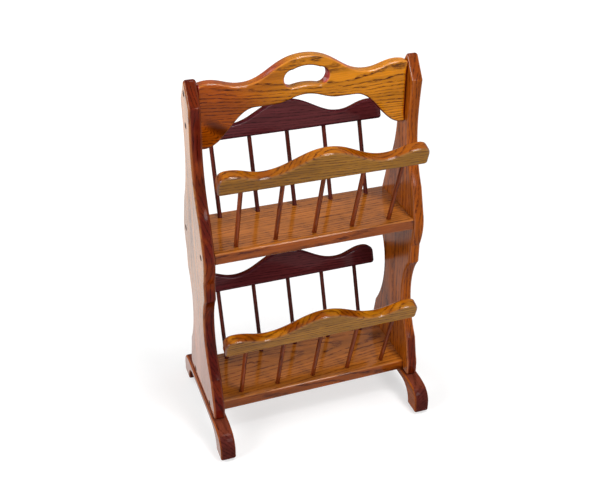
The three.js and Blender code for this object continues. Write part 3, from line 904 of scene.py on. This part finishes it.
def panel_outline():
    """A side panel's outline, in depth and height."""
    skirt_bend = PANEL_BOTTOM + SKIRT_BEND
    skirt_slope = LOWER_SHELF_TOP + SKIRT_SLOPE_RISE
    lower_ledge = Vector((LOWER_LEDGE_HALF_DEPTH, LOWER_SHELF_TOP + LEDGE_RISE))
    apron_bottom = Vector((APRON_HALF_DEPTH, UPPER_SHELF_TOP - APRON_BOTTOM_DROP))
    apron_top = UPPER_SHELF_TOP - APRON_TOP_DROP
    cheek = Vector((CHEEK_HALF_DEPTH, UPPER_SHELF_TOP + CHEEK_RISE))
    swell = CHEEK_HALF_DEPTH + CHEEK_SWELL
    upper_ledge = Vector((UPPER_LEDGE_HALF_DEPTH, UPPER_SHELF_TOP + LEDGE_RISE))
    shoulder = Vector((SHOULDER_HALF_DEPTH, PANEL_TOP - SHOULDER_DROP))
    half = Half(SKIRT_HALF_DEPTH, PANEL_BOTTOM)
    half.line(SKIRT_HALF_DEPTH, skirt_bend)
    half.curve((SKIRT_HALF_DEPTH, (skirt_bend + skirt_slope) / 2), (SKIRT_SLOPE_DEPTH, skirt_slope))
    half.line(*lower_ledge)
    half.curve(lower_ledge + WAIST_LEDGE_PULL, apron_bottom + WAIST_APRON_PULL, apron_bottom)
    half.line(APRON_HALF_DEPTH, apron_top)
    half.curve((swell, apron_top + CHEEK_LOWER_PULL), (swell, cheek.y - CHEEK_UPPER_PULL), cheek)
    half.line(*upper_ledge)
    half.curve(upper_ledge + NECK_LEDGE_PULL, shoulder + NECK_SHOULDER_PULL, shoulder)
    half.line(CREST_HALF_DEPTH, PANEL_TOP)
    half.line(0, PANEL_TOP)
    return softened(half.whole(), PANEL_CORNER_ROUND)


def screw_places():
    """Name, depth and height of every screw through a side panel."""
    places = [(f"handle_{i}", 0, z) for i, z in enumerate(HANDLE_SCREW_HEIGHTS, 1)]
    for shelf, top in (("upper_shelf", UPPER_SHELF_TOP), ("lower_shelf", LOWER_SHELF_TOP)):
        for i, end in enumerate((-1, 1), 1):
            places.append((f"{shelf}_{i}", end * SHELF_SCREW_SPREAD, top - BOARD_THICKNESS / 2))
    return places


def panel_mesh(name):
    """A side panel with its tenon, and its stepped screw holes from the outside, which is local +Z."""
    blank = board_mesh(name, [panel_outline()], BOARD_THICKNESS, lambda point: PANEL_EDGE_ROUND)
    bore = PLUG_RADIUS + FIT_GAP
    step = BOARD_THICKNESS / 2 - COUNTERBORE_DEPTH
    through = BOARD_THICKNESS
    profile = [(0, -through), (PILOT_RADIUS, -through), (PILOT_RADIUS, step)]
    profile += [(bore, step), (bore, through), (0, through)]
    drills = bmesh.new()
    for _, y, z in screw_places():
        turn(drills, profile, placing(y, z, 0))
    panel = combined(blank, drills, "DIFFERENCE")
    overlap = TENON_THICKNESS
    tenon = bmesh.new()
    block(tenon, (0, PANEL_BOTTOM + (overlap - TENON_DEPTH) / 2, 0),
          (TENON_LENGTH, TENON_DEPTH + overlap, TENON_THICKNESS))
    return combined(panel, tenon, "UNION")


# Feet, glides and plugs

def foot_outline():
    """A foot's outline, in depth and height."""
    toe = FOOT_LENGTH / 2
    nose = toe - FOOT_NOSE_SETBACK
    toe_top = GLIDE_STAND + FOOT_TOE_RISE
    arch_end = toe - PAD_LENGTH
    arch_top = GLIDE_STAND + ARCH_RISE
    pull = ARCH_RADIUS * ARC_PULL
    half = Half(0, arch_top)
    half.line(arch_end - ARCH_RADIUS, arch_top)
    half.curve((arch_end - pull, arch_top), (arch_end, arch_top - pull), (arch_end, arch_top - ARCH_RADIUS))
    half.line(arch_end, GLIDE_STAND)
    half.line(toe, GLIDE_STAND)
    half.line(toe, toe_top)
    half.curve((toe, toe_top + FOOT_TOE_PULL), (nose, FOOT_TOP - FOOT_NOSE_DROP))
    half.curve((nose - FOOT_SLOPE_PULL, FOOT_TOP), (nose - FOOT_SLOPE_LENGTH, FOOT_TOP))
    half.line(0, FOOT_TOP)
    return softened(half.whole(), FOOT_CORNER_ROUND)


def foot_mesh(name):
    """A foot with the mortise for its panel and the holes for its glides."""
    blank = board_mesh(name, [foot_outline()], FOOT_THICKNESS, lambda point: FOOT_EDGE_ROUND)
    tools = bmesh.new()
    mortise = (TENON_LENGTH + 2 * FIT_GAP, 2 * (TENON_DEPTH + FIT_GAP), TENON_THICKNESS + 2 * FIT_GAP)
    block(tools, (0, FOOT_TOP, 0), mortise)
    for end in (-1, 1):
        spot = placing(end * GLIDE_REACH, GLIDE_STAND, 0, (QUARTER_TURN, 0, 0))
        drill(tools, GLIDE_PIN_RADIUS + FIT_GAP, GLIDE_PIN_LENGTH + FIT_GAP, spot)
    return combined(blank, tools, "DIFFERENCE")


def glide_mesh(name):
    """A disc with a rounded rim on its pin."""
    top = GLIDE_STAND - GLUE_LINE
    pin_top = GLIDE_STAND + GLIDE_PIN_LENGTH
    profile = [(0, 0)]
    for k in range(GLIDE_RIM_STEPS + 1):
        angle = QUARTER_TURN * k / GLIDE_RIM_STEPS
        inset = GLIDE_RIM_ROUND * (1 - math.sin(angle))
        profile.append((GLIDE_RADIUS - inset, GLIDE_RIM_ROUND * (1 - math.cos(angle))))
    profile += [(GLIDE_RADIUS, top - GLIDE_CHAMFER), (GLIDE_RADIUS - GLIDE_CHAMFER, top)]
    profile += [(GLIDE_PIN_RADIUS, top), (GLIDE_PIN_RADIUS, pin_top - GLIDE_PIN_POINT), (0, pin_top)]
    return turned_mesh(name, profile)


def plug_mesh(name):
    """A wood plug, flush at its softly domed face, which is local +Z."""
    profile = [(0, -PLUG_LENGTH), (PLUG_RADIUS - PLUG_CHAMFER, -PLUG_LENGTH)]
    profile.append((PLUG_RADIUS, PLUG_CHAMFER - PLUG_LENGTH))
    profile += [(PLUG_RADIUS - inset, -drop) for inset, drop in PLUG_DOME]
    profile.append((0, 0))
    return turned_mesh(name, profile)


# Shelves

def spindle_places():
    """Where the spindles stand along a shelf and its rails."""
    first = SPINDLE_END_MARGIN - BOARD_LENGTH / 2
    pitch = (BOARD_LENGTH - 2 * SPINDLE_END_MARGIN) / (SPINDLE_COUNT - 1)
    return [first + i * pitch for i in range(SPINDLE_COUNT)]


def shelf_mesh(name):
    """A shelf whose section is drawn in depth and height and runs along local Z."""
    reach = SHELF_DEPTH / 2
    corners = ((reach, 0), (-reach, 0), (-reach, -BOARD_THICKNESS), (reach, -BOARD_THICKNESS))
    section = softened([Vector(c) for c in corners], EDGE_ROUND)
    blank = board_mesh(name, [section], BOARD_LENGTH, lambda point: SHELF_END_ROUND)
    tools = bmesh.new()
    for side in (-1, 1):
        for end in (-1, 1):
            spot = placing(side * SHELF_SCREW_SPREAD, -BOARD_THICKNESS / 2, end * BOARD_LENGTH / 2)
            drill(tools, PILOT_RADIUS, PILOT_DEPTH, spot)
        lean = Matrix.Rotation(-side * LEAN, 4, "Z") @ Matrix.Rotation(-QUARTER_TURN, 4, "X")
        for x in spindle_places():
            spot = Matrix.Translation((side * SPINDLE_SPREAD, 0, x)) @ lean
            drill(tools, SPINDLE_RADIUS + FIT_GAP, SOCKET_DEPTH, spot)
    return combined(blank, tools, "DIFFERENCE")


# Rails and spindles

def rail_outline():
    """A rail's outline, in length and height."""
    end = BOARD_LENGTH / 2
    half = Half(0, RAIL_CROWN_HEIGHT)
    half.scallop(end - RAIL_DIP_FROM_END, RAIL_DIP_HEIGHT)
    half.scallop(end - RAIL_HUMP_FROM_END, RAIL_HUMP_HEIGHT)
    half.curve((end, RAIL_HUMP_HEIGHT), (end, RAIL_HUMP_HEIGHT - RAIL_TOP_CORNER))
    half.line(end, RAIL_BOTTOM_CORNER)
    half.curve((end, 0), (end - RAIL_BOTTOM_CORNER, 0))
    half.line(0, 0)
    return half.whole()


def rail_mesh(name):
    """A rail with the sockets of its spindles."""
    blank = board_mesh(name, [rail_outline()], BOARD_THICKNESS, lambda point: RAIL_EDGE_ROUND)
    tools = bmesh.new()
    for x in spindle_places():
        drill(tools, SPINDLE_RADIUS + FIT_GAP, SOCKET_DEPTH, placing(x, 0, 0, (QUARTER_TURN, 0, 0)))
    return combined(blank, tools, "DIFFERENCE")


def spindle_mesh(name):
    """A dowel with chamfered ends, from the bottom of its lower socket up."""
    low = FIT_GAP - SOCKET_DEPTH
    high = SPINDLE_EXPOSED - low
    first = low + SPINDLE_CHAMFER
    run = high - SPINDLE_CHAMFER - first
    profile = [(0, low), (SPINDLE_RADIUS - SPINDLE_CHAMFER, low)]
    profile += [(SPINDLE_RADIUS, first + run * k / SPINDLE_STEPS) for k in range(SPINDLE_STEPS + 1)]
    profile += [(SPINDLE_RADIUS - SPINDLE_CHAMFER, high), (0, high)]
    return turned_mesh(name, profile)


# Handle board

def hand_hole():
    """The hole's outline, with the wood outside it: round ends, and arched above and below."""
    radius = HAND_HOLE_HEIGHT / 2
    reach = HAND_HOLE_WIDTH / 2 - radius
    top = HANDLE_CROWN - HAND_HOLE_FROM_CROWN - HAND_HOLE_TOP_ARCH
    bottom = top - HAND_HOLE_HEIGHT
    middle = bottom + radius

    def round_end(side, count):
        """Points up the right end, at side 1, or down the left end, at side -1."""
        found = []
        for k in range(1, count + 1):
            angle = math.pi * k / HAND_HOLE_STEPS
            across = reach + radius * math.sin(angle)
            found.append(Vector((side * across, middle - side * radius * math.cos(angle))))
        return found

    points = [Vector((-reach, bottom))]
    points += curve_points([(-reach, bottom), (0, bottom + 2 * HAND_HOLE_BOTTOM_ARCH), (reach, bottom)])
    points += round_end(1, HAND_HOLE_STEPS)
    points += curve_points([(reach, top), (0, top + 2 * HAND_HOLE_TOP_ARCH), (-reach, top)])
    points += round_end(-1, HAND_HOLE_STEPS - 1)
    return anticlockwise(points)[::-1]


def handle_mesh(name):
    """The crest board with its hand hole and the holes for its screws."""
    end = BOARD_LENGTH / 2
    heel = HANDLE_END_TOP - HANDLE_END_HEIGHT
    arch = heel + HANDLE_ARCH_RISE
    half = Half(0, HANDLE_CROWN)
    half.scallop(end - HANDLE_DIP_FROM_END, HANDLE_DIP, CROWN_PULL)
    half.scallop(end - HANDLE_HUMP_FROM_END, HANDLE_HUMP)
    half.curve((end - HANDLE_HUMP_FROM_END / 2, HANDLE_HUMP), (end, HANDLE_END_TOP))
    for k in range(1, HANDLE_END_STEPS + 1):
        half.line(end, HANDLE_END_TOP - HANDLE_END_HEIGHT * k / HANDLE_END_STEPS)
    half.line(end - HANDLE_HEEL_LENGTH, heel)
    half.scallop(end - HANDLE_ARCH_FROM_END, arch)
    half.line(HANDLE_BUMP_HALF_WIDTH, arch)
    half.scallop(0, arch + HANDLE_BUMP_RISE)
    outline = softened(half.whole(), HANDLE_CORNER_ROUND)

    def rounding(point):
        """Wide down the right end, and narrow at its corners."""
        share = min(max(1 - (end - point.x) / HANDLE_END_BAND, 0), 1)
        for room in (point.y - heel, HANDLE_END_TOP - point.y):
            share *= min(max((room - HANDLE_END_MARGIN) / HANDLE_END_FADE, 0), 1)
        return EDGE_ROUND + (HANDLE_END_ROUND - EDGE_ROUND) * share

    blank = board_mesh(name, [outline, hand_hole()], BOARD_THICKNESS, rounding)
    tools = bmesh.new()
    for z in HANDLE_SCREW_HEIGHTS:
        for side in (-1, 1):
            drill(tools, PILOT_RADIUS, PILOT_DEPTH, placing(side * end, z, 0, (0, QUARTER_TURN, 0)))
    return combined(blank, tools, "DIFFERENCE")


# Looks of the boards. Each was sawn from its own piece of the tree

PANEL_SHAPE = {
    "grain": ALONG_Y,
    "pith": (0.3, 0.03, -0.05),
    "tilt": (0, 0.03, 0.02),
    "ring": 0.0046,
}
# the left panel's lighter stain is a painted sheen
PANEL_STAINS = {"left": AMBER_PAINTED_SHEEN, "right": RUSSET}
PANEL_SAWN_FROM = {"left": (0.31, 0.12, 0.27), "right": (1.37, 0.52, 0.81)}
PANEL_LOOKS = {
    "left": {
        "edge": 0.85,
        # painted shade: the rims dark maroon
        "rim": tint(0.3, 0.08, 0.18),
        "patch": tint(1.6, 2.2, 0.6),
        # painted shade: darker towards the bottom
        "painted_shade": (tint(0.85, 0.6, 0.7), 0.3, 0.12),
        "coat": (1.0, 0.15, 0.4),
        # painted shade: the inner face darker and redder
        "lower": ((0, 0, -1), tint(0.6, 0.42, 0.5)),
    },
    "right": {
        "edge": 0.1,
        "rim": tint(0.95, 0.84, 0.4),
        # painted shade: the rims darker and purpler towards the bottom; the spared faces don't get it
        "painted_shade": (tint(0.36, 0.17, 0.75), 0.15, 0.13),
        "spared": (0, 0, 1),
        "coat": (0.5, 0.25, 0.8),
        "coat_haze": 0.2,
        # painted sheen: the outer face lighter and paler
        "lower": ((0, 0, 1), tint(1.2, 1.4, 2.0)),
    },
}
FOOT_LOOK = {
    "pith": (0, -0.02, 0.03),
    # the rims darker and bluer, and the ends bluer than plain end grain; the blue is a painted veil of
    # reflection
    "rim": tint(0.6, 0.6, 3.2),
    "end": tint(0.56, 0.49, 0.74),
}
FOOT_COATS = {"left": (0.9, 0.05, 0.12), "right": (0.3, 0.05, 0.12)}
FOOT_SAWN_FURTHER = 2
SHELF_LOOK = {
    "grain": ALONG_Z,
    "across": (0, 1, 0),
    "pith": (0, 0.012, 0.016),
    "tilt": (0, 0.05, 0.04),
    "ring": 0.006,
    "rim": tint(0.72, 0.52, 0.36),
    "coat": (0.45, 0.45, 0.9),
}
RAIL_SHAPE = {
    "pith": (0, -0.25, -0.12),
    "tilt": (0, 0.02, 0.02),
    "ring": 0.0044,
    # the share of painted dark reflection along the rails' arrises
    "edge": 0.5,
    # painted shade: a little darker towards the left end
    "painted_shade": (tint(0.85, 0.8, 0.85), 0.0, -0.12),
}
# the rear rails' darker stain is painted shade
RAIL_STAINS = {"front": TOFFEE, "rear": COCOA_WITH_PAINTED_SHADE}
RAIL_LOOKS = {
    "front": {
        "coat": (0.42, 0.25, 1.0),
        # painted shade: the inner face purpler
        "lower": ((0, 0, -1), tint(1.0, 0.8, 1.6)),
    },
    "rear": {
        "coat": (0.25, 0.01, 0.02),
        # painted shade: the inner face much darker and purple
        "lower": ((0, 0, 1), tint(0.4, 0.28, 2.3)),
    },
}
# Painted shade: the rear rails' rims dark and purple
REAR_RAIL_SHADED_RIM = tint(0.45, 0.3, 1.1)
RAIL_RIMS = {
    ("upper", "front"): tint(1.05, 0.76, 0.4),
    ("lower", "front"): tint(1.12, 0.92, 0.55),
    ("upper", "rear"): REAR_RAIL_SHADED_RIM,
    ("lower", "rear"): REAR_RAIL_SHADED_RIM,
}
RAIL_PATCHES = {"upper": tint(0.85, 0.7, 0.6), "lower": tint(0.7, 0.48, 0.42)}
SPINDLE_LOOK = {
    "grain": ALONG_Z,
    "pith": (0, 0.012, 0.02),
    "ring": 0.0028,
    "edge": 0.0,
    "coat": (0.28, 0.28, 0.28),
}
# the rear spindles' darker stain is painted shade
SPINDLE_STAINS = {"front": CHERRY, "rear": MAROON_PAINTED_SHADE}
SPINDLE_SAWN_FROM = (0.11, 0.5, 0.9)
PLUG_LOOK = {
    "pith": (0, 0.01, 0.004),
    "ring": 0.0022,
    "edge": 0.2,
    "end": NO_TINT,
    "coat": (0.2, 0.2, 0.2),
}
PLUG_SAWN_FROM = (0.7, 0.2, 0.4)
HANDLE_LOOK = {
    "pith": (0, 0.66, -0.05),
    "tilt": (0, 0.07, 0.03),
    "ring": 0.0036,
    # end grain, with painted shade: the ends dark maroon, as in the gap beside the side panel
    "end": tint(0.7, 0.1, 3.0),
    # painted shade: darker and redder towards the left end
    "painted_shade": (tint(0.6, 0.33, 0.2), 0.0, -0.135),
    "knot": ((-0.131, 0.534, 0.0), 0.01),
    # painted shade: the faces that look down are dark maroon, with little lacquer
    "lower": ((0, -1, 0), tint(0.22, 0.07, 0.1)),
    "painted_side_coat": 0.1,
    "coat": (0.3, 0.3, 1.0),
}
HANDLE_SAWN_FROM = (0.45, 0.1, 0.15)


# The rack, piece by piece

STAND_ACROSS = Matrix(((0, 0, 1, 0), (1, 0, 0, 0), (0, 1, 0, 0), (0, 0, 0, 1)))
UPRIGHT = Matrix.Rotation(QUARTER_TURN, 4, "X")

# Side, its turn about Z, and the sign of its local depth at the front
SIDES = (("right", 0, -1), ("left", math.pi, 1))

# Tier, the height of its shelf, and the piece of the tree that the shelf was sawn from
TIERS = (("upper", UPPER_SHELF_TOP, (0.2, 0.9, 0.3)), ("lower", LOWER_SHELF_TOP, (0.8, 0.3, 0.6)))

# Rail, the way that it leans, and how far along the tree its board was sawn
GALLERIES = (("front", -1, 0), ("rear", 1, 1))

plug_oak = oak("plug oak", UMBER, PLUG_SAWN_FROM, **PLUG_LOOK)
spindle_oaks = {}
for end, tones in SPINDLE_STAINS.items():
    spindle_oaks[end] = oak(f"{end} spindle oak", tones, SPINDLE_SAWN_FROM, **SPINDLE_LOOK)
steel = zinc_steel()
plastic = moulded_plastic()

for side, turned, front in SIDES:
    swing = Matrix.Rotation(turned, 4, "Z")
    stand = swing @ Matrix.Translation((PANEL_MIDDLE, 0, 0)) @ STAND_ACROSS
    shift = PANEL_SAWN_FROM[side]
    panel_oak = oak(f"{side} panel oak", PANEL_STAINS[side], shift, **PANEL_SHAPE, **PANEL_LOOKS[side])
    foot_shift = tuple(FOOT_SAWN_FURTHER * s for s in shift)
    foot_oak = oak(f"{side} foot oak", BRICK, foot_shift, coat=FOOT_COATS[side], **FOOT_LOOK)
    put(f"{side}_panel_board", panel_mesh, stand, panel_oak, f"{side}_side_panel")
    put(f"{side}_foot_board", foot_mesh, stand, foot_oak, f"{side}_foot")
    for end, sign in (("front", front), ("rear", -front)):
        spot = swing @ Matrix.Translation((PANEL_MIDDLE, sign * GLIDE_REACH, 0))
        put(f"{side}_{end}_floor_glide", glide_mesh, spot, plastic, f"{side}_{end}_glide")
    for name, y, z in screw_places():
        spot = swing @ Matrix.Translation((PANEL_OUTSIDE, y, z)) @ STAND_ACROSS
        put(f"{side}_{name}_cover", plug_mesh, spot, plug_oak, f"{side}_{name}_plug")
        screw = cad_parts[f"{side}_{name}_screw"]
        screw.data.materials.clear()
        screw.data.materials.append(steel)

for tier, shelf_top, shift in TIERS:
    shelf_oak = oak(f"{tier} shelf oak", CHESTNUT, shift, **SHELF_LOOK)
    stand = Matrix.Translation((0, 0, shelf_top)) @ STAND_ACROSS
    put(f"{tier}_shelf_board", shelf_mesh, stand, shelf_oak, f"{tier}_shelf")
    for end, outward, further in GALLERIES:
        foot_line = Matrix.Translation((0, outward * SPINDLE_SPREAD, shelf_top))
        gallery = foot_line @ Matrix.Rotation(-outward * LEAN, 4, "X")
        rail_shift = (shift[1] + further, shift[2], shift[0])
        rail_oak = oak(f"{tier} {end} rail oak", RAIL_STAINS[end], rail_shift, rim=RAIL_RIMS[tier, end],
                       patch=RAIL_PATCHES[tier], **RAIL_SHAPE, **RAIL_LOOKS[end])
        spot = gallery @ Matrix.Translation((0, 0, SPINDLE_EXPOSED)) @ UPRIGHT
        put(f"{tier}_{end}_rail_board", rail_mesh, spot, rail_oak, f"{tier}_{end}_rail")
        for i, x in enumerate(spindle_places(), 1):
            spot = gallery @ Matrix.Translation((x, 0, 0)) @ Matrix.Rotation(SPINDLE_TURN * i, 4, "Z")
            put(f"{tier}_{end}_dowel_{i}", spindle_mesh, spot, spindle_oaks[end],
                f"{tier}_{end}_spindle_{i}")

handle_oak = oak("handle oak", HONEY, HANDLE_SAWN_FROM, **HANDLE_LOOK)
put("handle_crest_board", handle_mesh, UPRIGHT, handle_oak, "handle_board")


# Floor, light and camera. Places and sizes are in metres, and powers in watts

FLOOR_REACH = 6
FLOOR_GREY = (0.5, 0.5, 0.5, 1)
FLOOR_GLOW = (0.54, 0.92)
FLOOR_GLOW_RUN = (0.3, 3.0)
WORLD_STRENGTH = 0.26
SOFT_BOXES = (
    ("overhead box", (0.5, -0.6, 2.55), (0, 0, 0.35), (0.5, 1.1), 31),
    ("front box", (0.68, -2.05, 1.62), (0, 0, 0.4), (0.7, 0.7), 24),
    ("left box", (-2.0, -0.5, 1.3), (0, 0, 0.35), (1.0, 1.0), 30),
    ("rear box", (-1.3, 2.2, 1.5), (0, 0, 0.35), (1.2, 1.2), 26),
)
CAMERA_PLACE = (-0.4343, -1.2085, 1.0861)
CAMERA_AZIMUTH = math.radians(20.189)
CAMERA_ELEVATION = math.radians(29.649)
CAMERA_ROLL = math.radians(0.481)
CAMERA_LENS = 54.784
CAMERA_SENSOR = 36
CAMERA_SHIFT = (-0.01667, -0.05)


def seen(n):
    """1 for what the camera sees, straight or by way of metal and glass."""
    path = n.add("ShaderNodeLightPath").outputs
    sent_on = n.math("MAXIMUM", path["Is Glossy Ray"], path["Is Transmission Ray"])
    return n.math("MAXIMUM", path["Is Camera Ray"], sent_on)


def plain_floor():
    """A wide pale floor that shows white to the camera and keeps the rack's shadow."""
    bm = bmesh.new()
    bmesh.ops.create_grid(bm, x_segments=1, y_segments=1, size=FLOOR_REACH)
    mesh = bpy.data.meshes.new("floor")
    bm.to_mesh(mesh)
    bm.free()
    floor = bpy.data.objects.new("floor", mesh)
    bpy.context.scene.collection.objects.link(floor)
    material, n = new_material("pale floor")
    paper = n.add("ShaderNodeBsdfDiffuse", {"Color": FLOOR_GREY})
    away = n.vector("LENGTH", n.add("ShaderNodeTexCoord").outputs["Object"])
    glow = n.math("MULTIPLY", seen(n), n.span(away, *FLOOR_GLOW_RUN, *FLOOR_GLOW))
    white = n.add("ShaderNodeEmission", {"Strength": glow})
    sheet = n.add("ShaderNodeAddShader", {0: paper.outputs[0], 1: white.outputs[0]})
    n.add("ShaderNodeOutputMaterial", {"Surface": sheet.outputs[0]})
    mesh.materials.append(material)


def white_world():
    """Even light from all round, with white behind the floor."""
    world = bpy.data.worlds.new("studio")
    bpy.context.scene.world = world
    world.use_nodes = True
    world.node_tree.nodes.clear()
    n = Nodes(world.node_tree)
    level = n.math("ADD", n.math("MULTIPLY", seen(n), 1.0 - WORLD_STRENGTH), WORLD_STRENGTH)
    back = n.add("ShaderNodeBackground", {"Color": (1, 1, 1, 1), "Strength": level})
    n.add("ShaderNodeOutputWorld", {"Surface": back.outputs[0]})


def soft_box(name, place, aim, size, power):
    """A lamp with a wide face, turned to a point of the rack."""
    light = bpy.data.lights.new(name, "AREA")
    light.shape = "RECTANGLE"
    light.size, light.size_y = size
    light.energy = power
    box = bpy.data.objects.new(name, light)
    box.location = place
    box.rotation_euler = (Vector(aim) - Vector(place)).to_track_quat("-Z", "Y").to_euler()
    bpy.context.scene.collection.objects.link(box)


def camera():
    """The photograph's view: about 20 degrees round from the front and 30 degrees down."""
    level_run = math.cos(CAMERA_ELEVATION)
    ahead = Vector((math.sin(CAMERA_AZIMUTH) * level_run, math.cos(CAMERA_AZIMUTH) * level_run,
                    -math.sin(CAMERA_ELEVATION)))
    level = Vector((math.cos(CAMERA_AZIMUTH), -math.sin(CAMERA_AZIMUTH), 0))
    above = level.cross(ahead)
    right = math.cos(CAMERA_ROLL) * level + math.sin(CAMERA_ROLL) * above
    up = math.cos(CAMERA_ROLL) * above - math.sin(CAMERA_ROLL) * level
    data = bpy.data.cameras.new("camera")
    data.sensor_fit = "HORIZONTAL"
    data.sensor_width = CAMERA_SENSOR
    data.lens = CAMERA_LENS
    data.shift_x, data.shift_y = CAMERA_SHIFT
    view = bpy.data.objects.new("camera", data)
    turned = Matrix((right, up, -ahead)).transposed().to_4x4()
    view.matrix_world = Matrix.Translation(CAMERA_PLACE) @ turned
    bpy.context.scene.collection.objects.link(view)
    bpy.context.scene.camera = view


plain_floor()
white_world()
for box in SOFT_BOXES:
    soft_box(*box)
camera()

bpy.context.scene.view_settings.view_transform = "Standard"
bpy.context.view_layer.update()
